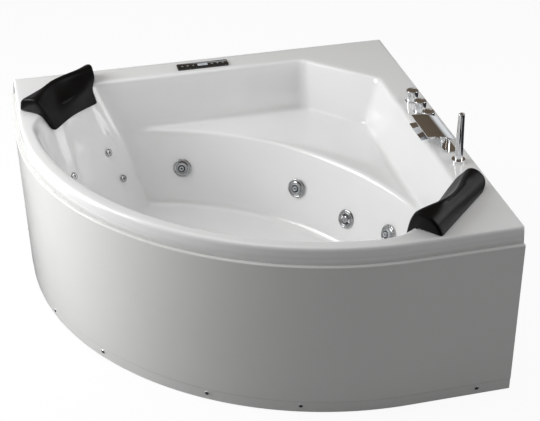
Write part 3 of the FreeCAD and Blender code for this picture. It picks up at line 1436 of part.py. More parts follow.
def hand_shower():
    """Slim stick that stands in its ring: a tapered grip, the spray face on top, and the neck."""
    low = RIM_Z + HAND_RING_T + RUN_GAP
    grip = Part.makeCone(HAND_BASE_R, HAND_TOP_R, HAND_TOP - low, V(HAND_X, HAND_Y, low), UP)
    grip = grip.makeFillet(1.5, [e for e in grip.Edges if e.BoundBox.ZMin > HAND_TOP - 0.01])
    neck = rod(HAND_X, HAND_Y, low - HAND_NECK_L, low + 1, HAND_NECK_R)
    return joined([grip, neck])


def shower_hose():
    """From the stick's neck down in a loop under the deck and up to the diverter."""
    top = RIM_Z + HAND_RING_T + RUN_GAP - HAND_NECK_L
    end = hose_end()
    return bent_tube("shower hose", [
        (HAND_X, HAND_Y, top),
        (HAND_X, HAND_Y, top - 85),
        (HAND_X + 1, HAND_Y + 3, top - 190),
        (HAND_X - 2, HAND_Y + 30, top - 285),
        (HAND_X - 8, HAND_Y + 95, top - 345),
        (HAND_X - 18, HAND_Y + 180, top - 355),
        (HAND_X - 30, HAND_Y + 265, top - 320),
        (end.x + 12, end.y - 55, top - 250),
        (end.x + 2, end.y - 12, top - 165),
        (end.x, end.y, top - 85),
        (end.x, end.y, end.z),
    ], HOSE_R, 120.0)


# ---- control panel and pillows ----------------------------------------------------------------------
def rounded_plate(width, depth, z_low, z_high, corner):
    low = (PANEL_X - width / 2, PANEL_Y - depth / 2, z_low)
    plate = box(low, (PANEL_X + width / 2, PANEL_Y + depth / 2, z_high))
    return plate.makeFillet(corner, [e for e in plate.Edges if e.BoundBox.ZLength > z_high - z_low - 0.01])


def control_panel():
    """Frame of the keypad with a recess for its glass and a neck through the deck."""
    top = RIM_Z + PANEL_T
    frame = rounded_plate(PANEL_W, PANEL_D, RIM_Z, top, PANEL_CORNER)
    recess = rounded_plate(
        PANEL_W - 2 * GLASS_MARGIN, PANEL_D - 2 * GLASS_MARGIN, top - GLASS_T, top + 1, PANEL_CORNER - 2)
    neck = rod(PANEL_X, PANEL_Y, RIM_Z - PANEL_NECK_L, RIM_Z + 1, PANEL_NECK_R)
    return joined([frame.cut(recess), neck])


def panel_glass():
    top = RIM_Z + PANEL_T
    side = 2 * GLASS_MARGIN + 2 * THREAD_GAP
    return rounded_plate(PANEL_W - side, PANEL_D - side, top - GLASS_T, top, PANEL_CORNER - 2)


def pillow_section(along):
    """Closed outline across the left pillow at one place along it."""
    hollow = max(0.0, 1.0 - (along / PILLOW_HOLLOW_HALF) ** 2) ** 2
    deck = RIM_Z + PILLOW_GAP
    crown = RIM_Z + PILLOW_H
    low = RIM_Z - PILLOW_DROP + PILLOW_ARCH * hollow
    back = backrest_half(low) - PILLOW_GAP
    ridge = PILLOW_RIDGE_W + PILLOW_HOLLOW * hollow
    over_edge = BACKREST_HALF - PILLOW_THIN + PILLOW_HOLLOW * 0.3 * hollow
    outline = [
        (PILLOW_REAR_W, deck),
        (PILLOW_REAR_W - 2, RIM_Z + PILLOW_H * 0.5),
        (PILLOW_REAR_W - 26, crown - 9),
        ((PILLOW_REAR_W - 26 + ridge) / 2, crown - 2 * hollow),
        (ridge, crown - 9),
        ((ridge + over_edge) / 2 - 6 + 10 * hollow, RIM_Z + PILLOW_H * 0.47),
        (over_edge, RIM_Z - 12),
        (back - PILLOW_TIP, low + 2),
        (back, low),
        (BACKREST_HALF - PILLOW_GAP, deck),
    ]
    p = [left_point(along, across, z) for across, z in outline]
    edges = [Part.Arc(p[i], p[i + 1], p[i + 2]).toShape() for i in (0, 2, 4)]
    for i in range(6, 10):
        edges.append(Part.LineSegment(p[i], p[(i + 1) % 10]).toShape())
    return Part.Wire(edges)


def pillow_end(way, length, slant):
    """Everything beyond one end of the left pillow: the end widens upwards and towards its rear."""
    near = PILLOW_REAR_W - 3 * PILLOW_REAR
    far = PILLOW_REAR_W + PILLOW_REAR
    low = RIM_Z - 3 * PILLOW_DROP
    high = RIM_Z + 3 * PILLOW_H
    corners = []
    for across, z in ((near, low), (far, low), (far, high), (near, high)):
        along = length - slant * (PILLOW_REAR_W - across) + PILLOW_FLARE * (z - RIM_Z)
        corners.append(left_point(way * along, across, z))
    face = Part.Face(Part.makePolygon(corners + corners[:1]))
    return face.extrude(left_point(way * SIDE / 3, 0, 0))


def left_pillow():
    """Moulded pillow with a crowned ridge, a hollow for the neck and a front that hangs over the edge."""
    reach = PILLOW_FAR + 30
    places = [reach * i / 4 for i in range(-4, 5)]
    body = Part.makeLoft([pillow_section(along) for along in places], True, False)
    body = body.cut(pillow_end(-1, PILLOW_NEAR, PILLOW_NEAR_SLANT))
    body = body.cut(pillow_end(1, PILLOW_FAR, PILLOW_FAR_SLANT))
    inside = box((-SIDE, -SIDE, 0), (SIDE, SIDE, RIM_Z + PILLOW_GAP))
    body = body.cut(pillow_end(1, PILLOW_HOOK, 0.0).common(inside))
    pegs = []
    for along in (-PEG_ALONG, PEG_ALONG):
        p = left_point(along, PEG_W, 0)
        pegs.append(rod(p.x, p.y, RIM_Z - PEG_L, RIM_Z + 5, PEG_R))
    return joined([body] + pegs)


# ---- holes in the shell, the board, the rails and the apron -------------------------------------------
def shell_cutters():
    through = 3 * SHELL_T
    cutters = []
    for turn in JET_TURNS:
        cutters.append(seated(disc(-through, through, JET_BARREL_R + HOLE_GAP), on_rear_wall(turn, JET_Z)))
    seat = on_rear_wall(SUCTION_TURN, SUCTION_Z)
    cutters.append(seated(disc(-through, through, SUCTION_BARREL_R + HOLE_GAP), seat))
    for seat in small_jet_seats():
        hole = seated(disc(-through, through, SMALL_BARREL_R + HOLE_GAP), seat)
        cutters += [hole, mirrored(hole)]
    for x, y in FLOOR_JETS:
        cutters.append(rod(x, y, RAIL_TOP, FLOOR_Z + 1, FLOOR_BARREL_R + HOLE_GAP))
    cutters.append(rod(DRAIN_X, DRAIN_Y, RAIL_TOP, FLOOR_Z + 1, DRAIN_TUBE_R + HOLE_GAP))
    cutters.append(seated(disc(-through, through, OVERFLOW_BODY_R + HOLE_GAP), overflow_seat()))
    for y in TAP_Y:
        cutters.append(rod(TAP_X, y, DECK_UNDER - 1, RIM_Z + 1, VALVE_R + HOLE_GAP))
    cutters.append(rod(POST_X, POST_Y, DECK_UNDER - 1, RIM_Z + 1, POST_TAIL_R + HOLE_GAP))
    cutters.append(rod(HAND_X, HAND_Y, DECK_UNDER - 1, RIM_Z + 1, HAND_NECK_R + 3 + HOLE_GAP))
    cutters.append(rod(PANEL_X, PANEL_Y, DECK_UNDER - 1, RIM_Z + 1, PANEL_NECK_R + HOLE_GAP))
    for along in (-PEG_ALONG, PEG_ALONG):
        p = left_point(along, PEG_W, 0)
        hole = rod(p.x, p.y, DECK_UNDER - 1, RIM_Z + 1, PEG_R + PILLOW_GAP)
        cutters += [hole, mirrored(hole)]
    return cutters


def board_cutters():
    cutters = [rod(DRAIN_X, DRAIN_Y, RAIL_TOP - 1, BOARD_TOP + 1, DRAIN_NUT_R + HOLE_GAP)]
    for x, y in FLOOR_JETS:
        cutters.append(rod(x, y, RAIL_TOP - 1, BOARD_TOP + 1, FLOOR_BARREL_R + HOLE_GAP))
    return cutters


def stud_cutters():
    return [rod(x, y, RAIL_Z - 1, RAIL_Z + RAIL / 2, FOOT_STUD_R + STUD_GAP) for x, y in foot_places()]


def screw_holes():
    hole = Part.makeCylinder(SCREW_R + HOLE_GAP, 4 * APRON_T, V(-APRON_T, 0, SCREW_Z), V(1, 0, 0))
    return [upright_seat(hole, point, way) for point, way in apron_fixings()]


# ---- every node ---------------------------------------------------------------------------------------
os.makedirs("parts", exist_ok=True)

save("tub_shell", tub_shell(shell_cutters()))
save("base_board", base_board(board_cutters()))
save("base_rails", *base_rails(stud_cutters()), *cross_rails(stud_cutters()))
save("uprights", *uprights())
for number, (foot_x, foot_y) in enumerate(foot_places(), 1):
    save("levelling_foot_%d" % number, foot(foot_x, foot_y))
save("foot_nuts", *[foot_nut(x, y) for x, y in foot_places()])

save("apron_panel", apron_panel(screw_holes()))
save("apron_brackets", *[upright_seat(apron_bracket(), point, way) for point, way in apron_fixings()])
save("apron_screws", *[upright_seat(apron_screw(), point, way) for point, way in apron_fixings()])

jet_seats = [on_rear_wall(turn, JET_Z) for turn in JET_TURNS]
suction_seat = on_rear_wall(SUCTION_TURN, SUCTION_Z)
bodies = [seated(jet_body(), seat) for seat in jet_seats] + [seated(suction_body(), suction_seat)]
back_nuts = [seated(wall_nut(JET_BARREL_R), seat) for seat in jet_seats]
back_nuts.append(seated(wall_nut(SUCTION_BARREL_R), suction_seat))
save("jet_bodies", *bodies, *back_nuts)
for number, seat in enumerate(jet_seats, 1):
    save("jet_face_%d" % number, seated(jet_face(), seat))
    save("jet_nozzle_%d" % number, seated(jet_nozzle(), seat))
save("suction_cover", seated(suction_cover(), suction_seat))
small_faces = [seated(small_jet_face(), seat) for seat in small_jet_seats()]
save("small_jet_faces", *small_faces, *[mirrored(face) for face in small_faces])
save("back_jet_pipes", back_jet_pipes(), mirrored(back_jet_pipes()))
save("floor_jets", *floor_jets())

save("water_manifold", water_manifold())
save("air_manifold", air_manifold())
save("pump_pipes", pressure_pipe(), suction_pipe())
save("air_hoses", air_hose(), floor_air_hose())

save("equipment_shelf", equipment_shelf())
save("pump_wet_end", pump_wet_end())
save("pump_motor", pump_motor())
save("pump_impeller", pump_impeller())
save("air_blower", air_blower())
save("blower_fan", blower_fan())
save("control_box", *control_box())
save("wiring", *wiring())

save("waste_trims", drain_flange(), overflow_plate())
save("drain_body", drain_body())
save("drain_plug", drain_plug())
save("drain_trap", drain_trap())
save("overflow_body", overflow_body())
save("overflow_knob", overflow_knob())
save("overflow_hose", overflow_hose())
save("drain_cable", drain_cable())

for handle_name, tap_y in zip(("hot_handle", "diverter_handle", "cold_handle"), TAP_Y):
    save(handle_name, tap_handle(tap_y))
save("tap_valves", *[tap_valve(y) for y in TAP_Y])
save("mixer_pipe", *mixer_pipe())
save("deck_flanges", *deck_flanges())
save("spout_plate", spout_plate())
save("spout_tray", spout_tray())
save("spout_post", spout_post())
save("hand_shower", hand_shower())
save("shower_hose", shower_hose())

save("control_panel", control_panel())
save("panel_glass", panel_glass())
save("left_pillow", left_pillow())
save("right_pillow", mirrored(left_pillow()))
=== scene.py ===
import math

import bmesh
import bpy
import numpy as np
from mathutils import Matrix, Vector


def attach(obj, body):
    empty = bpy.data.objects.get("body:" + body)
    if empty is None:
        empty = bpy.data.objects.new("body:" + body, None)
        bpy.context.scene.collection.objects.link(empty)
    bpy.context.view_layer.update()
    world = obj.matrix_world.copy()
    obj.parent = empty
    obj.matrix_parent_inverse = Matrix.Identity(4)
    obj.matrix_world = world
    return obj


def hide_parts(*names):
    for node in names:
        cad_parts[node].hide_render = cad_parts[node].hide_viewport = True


# A jetted corner bath in metres, on the frame of its construction model. The origin is on the
# floor in the middle of the square footprint; the room's walls are at +X and +Y.

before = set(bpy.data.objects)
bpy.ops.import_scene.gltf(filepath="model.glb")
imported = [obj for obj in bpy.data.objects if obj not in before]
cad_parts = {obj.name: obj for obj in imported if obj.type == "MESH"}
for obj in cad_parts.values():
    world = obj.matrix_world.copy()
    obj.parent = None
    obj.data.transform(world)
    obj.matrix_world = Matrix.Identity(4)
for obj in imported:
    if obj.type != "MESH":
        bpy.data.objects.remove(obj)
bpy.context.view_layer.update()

# ---- the bath's driving sizes, as in the construction model ----
SIDE = 1.520
RIM_Z = 0.645
SEAT_Z = 0.450
FLOOR_Z = 0.165
END_STRAIGHT = 0.360
LEDGE = 0.020
SHELL_T = 0.006
LIP_DEPTH = 0.057
LIP_FLARE = 0.008               # the front lip's lower edge stands out this far
DECK_W = 0.115
FRONT_RIM_W = 0.048
BACK_DRAFT = 15.0
CORNER_DRAFT = 11.5
CORNER_CUT = 0.245
BACKREST_HALF = 0.764
RECLINE = 25.3
FRONT_DRAFT = 12.9
WELL_CENTRE = -0.511
WELL_R = 1.120
WELL_DRAFT = 18.6

HALF = SIDE / 2
ARC_CENTRE = HALF - END_STRAIGHT
RIM_R = ARC_CENTRE + HALF - LEDGE
RIM_FRONT = HALF - LEDGE
LIP_Z = RIM_Z - LIP_DEPTH
ROOT2 = math.sqrt(2)


def tan(degrees):
    return math.tan(math.radians(degrees))


def cos(degrees):
    return math.cos(math.radians(degrees))


def sin(degrees):
    return math.sin(math.radians(degrees))


# ---- camera, light and stage ----
CAMERA_AT = (-0.7627, -3.7770, 2.7496)
CAMERA_TURN = -12.99
CAMERA_RISE = 31.598
CAMERA_ROLL = -0.817
CAMERA_LENS = 83.0
PALE = (1.0, 1.0, 1.0, 1.0)
ROOM_BANDS = (                            # what mirrors see, by the sine of its height
    (0.00, (0.10, 0.10, 0.11, 1.0)),
    (0.10, (0.80, 0.82, 0.84, 1.0)),
    (0.17, (0.70, 0.71, 0.72, 1.0)),
    (0.24, (0.10, 0.078, 0.058, 1.0)),
    (0.90, (0.17, 0.133, 0.100, 1.0)),
    (0.96, (0.60, 0.61, 0.62, 1.0)),
)
FLOOR_GREY = (0.4, 0.4, 0.4, 1.0)        # the floor's colour for the light that it throws back
FLOOR_DARK = (0.04, 0.04, 0.045, 1.0)    # and what mirrors see of it
FLOOR_WHITE = (0.95, 0.95, 0.95, 1.0)    # and its colour to the camera
FLOOR_GLOW = 0.93
FLOOR_HALF = 30.0
WORLD_STRENGTH = 0.30
LAMPS = (                                # name, place, target, size, watts
    ("key_left", (-3.4, 0.6, 2.8), (0.0, 0.0, 0.4), 2.0, 67.0),
    ("low_left", (-2.6, 0.7, 1.2), (0.0, 0.0, 0.3), 1.4, 27.0),
    ("left_end", (-2.0, 0.3, 0.6), (-0.6, 0.3, 0.3), 0.8, 8.0),
    ("top", (-0.5, 0.5, 2.6), (-0.2, 0.2, 0.3), 1.6, 8.0),
    ("right_fill", (3.0, -0.5, 1.8), (0.0, 0.0, 0.4), 1.6, 23.0),
)


def add_camera():
    """Camera whose axes come from its turn about Z, its rise over the floor and its roll."""
    back = Vector((
        sin(CAMERA_TURN) * cos(CAMERA_RISE),
        -cos(CAMERA_TURN) * cos(CAMERA_RISE),
        sin(CAMERA_RISE),
    ))
    level = Vector((0, 0, 1)).cross(back).normalized()
    upright = back.cross(level)
    right = level * cos(CAMERA_ROLL) + upright * sin(CAMERA_ROLL)
    up = upright * cos(CAMERA_ROLL) - level * sin(CAMERA_ROLL)
    data = bpy.data.cameras.new("camera")
    data.sensor_fit = "HORIZONTAL"
    data.sensor_width = 36.0
    data.lens = CAMERA_LENS
    data.clip_end = 100.0
    camera = bpy.data.objects.new("camera", data)
    camera.matrix_world = Matrix((
        (right.x, up.x, back.x, CAMERA_AT[0]),
        (right.y, up.y, back.y, CAMERA_AT[1]),
        (right.z, up.z, back.z, CAMERA_AT[2]),
        (0, 0, 0, 1),
    ))
    bpy.context.scene.collection.objects.link(camera)
    bpy.context.scene.camera = camera


def add_area(name, place, target, size, power):
    """Square soft light that looks at a target."""
    data = bpy.data.lights.new(name, "AREA")
    data.shape = "SQUARE"
    data.size = size
    data.energy = power
    lamp = bpy.data.objects.new(name, data)
    way = Vector(target) - Vector(place)
    turn = way.to_track_quat("-Z", "Y").to_matrix().to_4x4()
    lamp.matrix_world = Matrix.Translation(place) @ turn
    bpy.context.scene.collection.objects.link(lamp)


def add_world(strength):
    """Even light from all round. The camera sees white, and mirrors see a room in bands."""
    world = bpy.data.worlds.new("studio")
    world.use_nodes = True
    nodes, links = world.node_tree.nodes, world.node_tree.links
    nodes.clear()
    out = nodes.new("ShaderNodeOutputWorld")
    even = nodes.new("ShaderNodeBackground")
    even.inputs["Color"].default_value = PALE
    even.inputs["Strength"].default_value = strength
    white = nodes.new("ShaderNodeBackground")
    white.inputs["Color"].default_value = PALE
    white.inputs["Strength"].default_value = 1.0
    room = nodes.new("ShaderNodeBackground")
    place = nodes.new("ShaderNodeTexCoord")
    split = nodes.new("ShaderNodeSeparateXYZ")
    ramp = nodes.new("ShaderNodeValToRGB")
    stops = ramp.color_ramp.elements
    stops[0].position, stops[0].color = ROOM_BANDS[0]
    stops[1].position, stops[1].color = ROOM_BANDS[-1]
    for position, colour in ROOM_BANDS[1:-1]:
        stops.new(position).color = colour
    path = nodes.new("ShaderNodeLightPath")
    mirror = nodes.new("ShaderNodeMixShader")
    mix = nodes.new("ShaderNodeMixShader")
    links.new(place.outputs["Generated"], split.inputs["Vector"])
    links.new(split.outputs["Z"], ramp.inputs["Fac"])
    links.new(ramp.outputs["Color"], room.inputs["Color"])
    links.new(path.outputs["Is Glossy Ray"], mirror.inputs["Fac"])
    links.new(even.outputs["Background"], mirror.inputs[1])
    links.new(room.outputs["Background"], mirror.inputs[2])
    links.new(path.outputs["Is Camera Ray"], mix.inputs["Fac"])
    links.new(mirror.outputs["Shader"], mix.inputs[1])
    links.new(white.outputs["Background"], mix.inputs[2])
    links.new(mix.outputs["Shader"], out.inputs["Surface"])
    bpy.context.scene.world = world


def add_floor():
    """Wide pale floor that shows white to the camera apart from the bath's soft shadow."""
    mesh = bpy.data.meshes.new("studio_floor")
    corners = [(x * FLOOR_HALF, y * FLOOR_HALF, 0) for x, y in ((-1, -1), (1, -1), (1, 1), (-1, 1))]
    mesh.from_pydata(corners, [], [(0, 1, 2, 3)])
    floor = bpy.data.objects.new("studio_floor", mesh)
    bpy.context.scene.collection.objects.link(floor)
    material = bpy.data.materials.new("studio_floor")
    material.use_nodes = True
    nodes, links = material.node_tree.nodes, material.node_tree.links
    nodes.clear()
    out = nodes.new("ShaderNodeOutputMaterial")
    matt = nodes.new("ShaderNodeBsdfDiffuse")
    shade = nodes.new("ShaderNodeMix")
    shade.data_type = "RGBA"
    shade.inputs["A"].default_value = FLOOR_GREY
    shade.inputs["B"].default_value = FLOOR_WHITE
    glow = nodes.new("ShaderNodeEmission")
    glow.inputs["Color"].default_value = PALE
    path = nodes.new("ShaderNodeLightPath")
    share = nodes.new("ShaderNodeMath")
    share.operation = "MULTIPLY"
    share.inputs[1].default_value = FLOOR_GLOW
    mix = nodes.new("ShaderNodeMixShader")
    dim = nodes.new("ShaderNodeMix")
    dim.data_type = "RGBA"
    dim.inputs["B"].default_value = FLOOR_DARK
    links.new(path.outputs["Is Camera Ray"], shade.inputs["Factor"])
    links.new(path.outputs["Is Glossy Ray"], dim.inputs["Factor"])
    links.new(shade.outputs["Result"], dim.inputs["A"])
    links.new(dim.outputs["Result"], matt.inputs["Color"])
    links.new(path.outputs["Is Camera Ray"], share.inputs[0])
    links.new(share.outputs["Value"], mix.inputs["Fac"])
    links.new(matt.outputs["BSDF"], mix.inputs[1])
    links.new(glow.outputs["Emission"], mix.inputs[2])
    links.new(mix.outputs["Shader"], out.inputs["Surface"])
    mesh.materials.append(material)


# ---- shared effects ----
def new_group(name, inputs, outputs):
    """Empty shader node group with named sockets; returns it with its two end nodes."""
    group = bpy.data.node_groups.new(name, "ShaderNodeTree")
    for socket_name, kind, value in inputs:
        socket = group.interface.new_socket(socket_name, in_out="INPUT", socket_type=kind)
        if value is not None:
            socket.default_value = value
    for socket_name, kind in outputs:
        group.interface.new_socket(socket_name, in_out="OUTPUT", socket_type=kind)
    return group, group.nodes.new("NodeGroupInput"), group.nodes.new("NodeGroupOutput")


def tone_drift_group():
    """Slow change between two colours over the surface, as in moulded or cast material."""
    group, given, out = new_group(
        "tone drift",
        [
            ("Vector", "NodeSocketVector", None),
            ("Scale", "NodeSocketFloat", 3.0),
            ("First", "NodeSocketColor", None),
            ("Second", "NodeSocketColor", None),
        ],
        [("Color", "NodeSocketColor"), ("Mask", "NodeSocketFloat")],
    )
    noise = group.nodes.new("ShaderNodeTexNoise")
    noise.inputs["Detail"].default_value = 3.0
    noise.inputs["Roughness"].default_value = 0.55
    ramp = group.nodes.new("ShaderNodeMapRange")
    ramp.interpolation_type = "SMOOTHSTEP"
    ramp.inputs["From Min"].default_value = 0.35
    ramp.inputs["From Max"].default_value = 0.65
    mix = group.nodes.new("ShaderNodeMix")
    mix.data_type = "RGBA"
    link = group.links.new
    link(given.outputs["Vector"], noise.inputs["Vector"])
    link(given.outputs["Scale"], noise.inputs["Scale"])
    link(noise.outputs["Fac"], ramp.inputs["Value"])
    link(ramp.outputs["Result"], mix.inputs["Factor"])
    link(given.outputs["First"], mix.inputs["A"])
    link(given.outputs["Second"], mix.inputs["B"])
    link(mix.outputs["Result"], out.inputs["Color"])
    link(ramp.outputs["Result"], out.inputs["Mask"])
    return group


def haze_group():
    """Roughness that drifts between two values: wiped film, water marks and handling."""
    group, given, out = new_group(
        "surface haze",
        [
            ("Vector", "NodeSocketVector", None),
            ("Scale", "NodeSocketFloat", 12.0),
            ("Low", "NodeSocketFloat", 0.1),
            ("High", "NodeSocketFloat", 0.2),
        ],
        [("Roughness", "NodeSocketFloat")],
    )
    noise = group.nodes.new("ShaderNodeTexNoise")
    noise.inputs["Detail"].default_value = 5.0
    noise.inputs["Roughness"].default_value = 0.6
    ramp = group.nodes.new("ShaderNodeMapRange")
    ramp.inputs["From Min"].default_value = 0.3
    ramp.inputs["From Max"].default_value = 0.7
    link = group.links.new
    link(given.outputs["Vector"], noise.inputs["Vector"])
    link(given.outputs["Scale"], noise.inputs["Scale"])
    link(noise.outputs["Fac"], ramp.inputs["Value"])
    link(given.outputs["Low"], ramp.inputs["To Min"])
    link(given.outputs["High"], ramp.inputs["To Max"])
    link(ramp.outputs["Result"], out.inputs["Roughness"])
    return group


def relief_group():
    """Fine relief in two sizes: a soft wave with a grain on it."""
    group, given, out = new_group(
        "fine relief",
        [
            ("Vector", "NodeSocketVector", None),
            ("Wave Scale", "NodeSocketFloat", 20.0),
            ("Grain Scale", "NodeSocketFloat", 600.0),
            ("Grain Share", "NodeSocketFloat", 0.3),
        ],
        [("Height", "NodeSocketFloat")],
    )
    wave = group.nodes.new("ShaderNodeTexNoise")
    wave.inputs["Detail"].default_value = 1.0
    grain = group.nodes.new("ShaderNodeTexNoise")
    grain.inputs["Detail"].default_value = 2.0
    mix = group.nodes.new("ShaderNodeMix")
    mix.data_type = "FLOAT"
    link = group.links.new
    link(given.outputs["Vector"], wave.inputs["Vector"])
    link(given.outputs["Vector"], grain.inputs["Vector"])
    link(given.outputs["Wave Scale"], wave.inputs["Scale"])
    link(given.outputs["Grain Scale"], grain.inputs["Scale"])
    link(given.outputs["Grain Share"], mix.inputs["Factor"])
    link(wave.outputs["Fac"], mix.inputs["A"])
    link(grain.outputs["Fac"], mix.inputs["B"])
    link(mix.outputs["Result"], out.inputs["Height"])
    return group


TONE_DRIFT = tone_drift_group()
HAZE = haze_group()
RELIEF = relief_group()


def rgba(colour):
    return (colour[0], colour[1], colour[2], 1.0)


def finish_of(
    name,
    first,
    second,
    tone_scale=3.0,
    roughness=(0.1, 0.2),
    haze_scale=12.0,
    wave=20.0,
    grain=600.0,
    grain_share=0.3,
    bump=0.05,
    depth=0.0004,
    metallic=0.0,
    coat=0.0,
    coat_roughness=0.05,
    specular=0.5,
):
    """Material from the three shared effects. The coat and the metal are plain values."""
    material = bpy.data.materials.new(name)
    material.use_nodes = True
    nodes, links = material.node_tree.nodes, material.node_tree.links
    shader = nodes["Principled BSDF"]
    shader.inputs["Metallic"].default_value = metallic
    shader.inputs["Coat Weight"].default_value = coat
    shader.inputs["Coat Roughness"].default_value = coat_roughness
    shader.inputs["Specular IOR Level"].default_value = specular
    place = nodes.new("ShaderNodeTexCoord")
    drift = nodes.new("ShaderNodeGroup")
    drift.node_tree = TONE_DRIFT
    drift.inputs["Scale"].default_value = tone_scale
    drift.inputs["First"].default_value = rgba(first)
    drift.inputs["Second"].default_value = rgba(second)
    haze = nodes.new("ShaderNodeGroup")
    haze.node_tree = HAZE
    haze.inputs["Scale"].default_value = haze_scale
    haze.inputs["Low"].default_value = roughness[0]
    haze.inputs["High"].default_value = roughness[1]
    relief = nodes.new("ShaderNodeGroup")
    relief.node_tree = RELIEF
    relief.inputs["Wave Scale"].default_value = wave
    relief.inputs["Grain Scale"].default_value = grain
    relief.inputs["Grain Share"].default_value = grain_share
    raised = nodes.new("ShaderNodeBump")
    raised.inputs["Strength"].default_value = bump
    raised.inputs["Distance"].default_value = depth
    for group in (drift, haze, relief):
        links.new(place.outputs["Object"], group.inputs["Vector"])
    links.new(drift.outputs["Color"], shader.inputs["Base Color"])
    links.new(haze.outputs["Roughness"], shader.inputs["Roughness"])
    links.new(relief.outputs["Height"], raised.inputs["Height"])
    links.new(raised.outputs["Normal"], shader.inputs["Normal"])
    return material


def wood_finish(name, pale, dark):
    """Sealed board: long grain lines from a stretched noise over the shared drift."""
    material = finish_of(name, pale, dark, 4.0, (0.45, 0.6), 30.0, 60.0, 900.0, 0.6, 0.15)
    nodes, links = material.node_tree.nodes, material.node_tree.links
    shader = nodes["Principled BSDF"]
    place = nodes["Texture Coordinate"]
    stretch = nodes.new("ShaderNodeMapping")
    stretch.inputs["Scale"].default_value = (3.0, 60.0, 60.0)
    lines = nodes.new("ShaderNodeTexNoise")
    lines.inputs["Scale"].default_value = 3.0
    lines.inputs["Detail"].default_value = 6.0
    mix = nodes.new("ShaderNodeMix")
    mix.data_type = "RGBA"
    mix.blend_type = "MULTIPLY"
    mix.inputs["B"].default_value = rgba([v * 0.72 for v in dark])
    links.new(place.outputs["Object"], stretch.inputs["Vector"])
    links.new(stretch.outputs["Vector"], lines.inputs["Vector"])
    links.new(lines.outputs["Fac"], mix.inputs["Factor"])
    links.new(shader.inputs["Base Color"].links[0].from_socket, mix.inputs["A"])
    links.new(mix.outputs["Result"], shader.inputs["Base Color"])
    return material


ACRYLIC = finish_of(
    "white acrylic", (0.92, 0.925, 0.92), (0.90, 0.905, 0.90), 1.4, (0.10, 0.17), 9.0,
    5.0, 260.0, 0.06, 0.03, 0.002, coat=0.6, coat_roughness=0.04,
)
APRON_SHEET = finish_of(
    "apron sheet", (0.80, 0.80, 0.785), (0.77, 0.772, 0.76), 1.0, (0.16, 0.25), 7.0,
    3.0, 300.0, 0.05, 0.05, 0.003, coat=0.4, coat_roughness=0.08,
)
CHROME = finish_of(
    "chrome", (0.86, 0.87, 0.88), (0.82, 0.83, 0.85), 18.0, (0.03, 0.07), 30.0,
    30.0, 700.0, 0.1, 0.01, 0.0002, metallic=1.0,
)
# Chrome of the jets, covers and caps in the hollow, its colour dimmed to about half: painted shade.
SHADED_JET_CHROME = finish_of(
    "jet chrome dimmed as painted shade", (0.50, 0.51, 0.52), (0.44, 0.45, 0.46), 18.0, (0.05, 0.12), 70.0,
    40.0, 900.0, 0.2, 0.03, 0.0002, metallic=1.0,
)
BLACK_SKIN = finish_of(
    "black pillow skin", (0.0022, 0.0024, 0.0025), (0.0034, 0.0036, 0.0038), 9.0, (0.32, 0.42), 14.0,
    14.0, 900.0, 0.10, 0.05, 0.0004, coat=0.03, coat_roughness=0.30, specular=0.14,
)
BLACK_FRAME = finish_of(
    "black keypad frame", (0.012, 0.013, 0.014), (0.02, 0.021, 0.022), 20.0, (0.16, 0.28), 60.0,
    80.0, 1800.0, 0.5, 0.1, 0.0002, coat=0.5,
)
BLACK_WINDOW = finish_of(
    "keypad window", (0.006, 0.007, 0.008), (0.01, 0.011, 0.012), 15.0, (0.04, 0.09), 50.0,
    10.0, 900.0, 0.1, 0.02, 0.0002, coat=1.0,
)
KEY_LIGHT = finish_of(
    "pale key mark", (0.62, 0.66, 0.68), (0.50, 0.54, 0.57), 90.0, (0.3, 0.4), 90.0,
    80.0, 900.0, 0.3, 0.05, 0.0001,
)
ZINC_STEEL = finish_of(
    "zinc coated steel", (0.50, 0.52, 0.54), (0.40, 0.42, 0.44), 26.0, (0.32, 0.52), 34.0,
    60.0, 900.0, 0.4, 0.12, 0.0003, metallic=0.8,
)
BOARD = wood_finish("sealed board", (0.52, 0.40, 0.27), (0.40, 0.29, 0.18))
GREY_PIPE = finish_of(
    "grey pressure pipe", (0.38, 0.40, 0.42), (0.33, 0.35, 0.37), 8.0, (0.34, 0.46), 20.0,
    30.0, 700.0, 0.3, 0.08, 0.0003,
)
BLACK_PLASTIC = finish_of(
    "moulded black plastic", (0.018, 0.019, 0.02), (0.03, 0.031, 0.033), 14.0, (0.38, 0.55), 40.0,
    60.0, 1400.0, 0.6, 0.2, 0.0003,
)
MOTOR_ENAMEL = finish_of(
    "motor enamel", (0.05, 0.07, 0.10), (0.07, 0.09, 0.12), 10.0, (0.30, 0.44), 30.0,
    40.0, 700.0, 0.5, 0.16, 0.0004, coat=0.3, coat_roughness=0.2,
)
BRASS = finish_of(
    "turned brass", (0.72, 0.52, 0.22), (0.60, 0.42, 0.18), 22.0, (0.20, 0.36), 50.0,
    60.0, 1200.0, 0.4, 0.1, 0.0002, metallic=1.0,
)
HOSE_STEEL = finish_of(
    "wound steel hose", (0.62, 0.63, 0.65), (0.50, 0.51, 0.53), 60.0, (0.18, 0.34), 80.0,
    90.0, 1500.0, 0.3, 0.2, 0.0003, metallic=1.0,
)
NOZZLE = finish_of(
    "nozzle plastic", (0.66, 0.68, 0.70), (0.58, 0.60, 0.62), 30.0, (0.16, 0.26), 60.0,
    50.0, 900.0, 0.3, 0.05, 0.0002, coat=0.4,
)
# Near-black sheets on the floors of the jets' grooves and bores and behind the suction grille: painted
# shade of those hollows.
SHADE_IN_HOLES = finish_of(
    "painted shade in holes", (0.02, 0.022, 0.024), (0.035, 0.037, 0.04), 40.0, (0.4, 0.6), 60.0,
    50.0, 900.0, 0.4, 0.1, 0.0002,
)


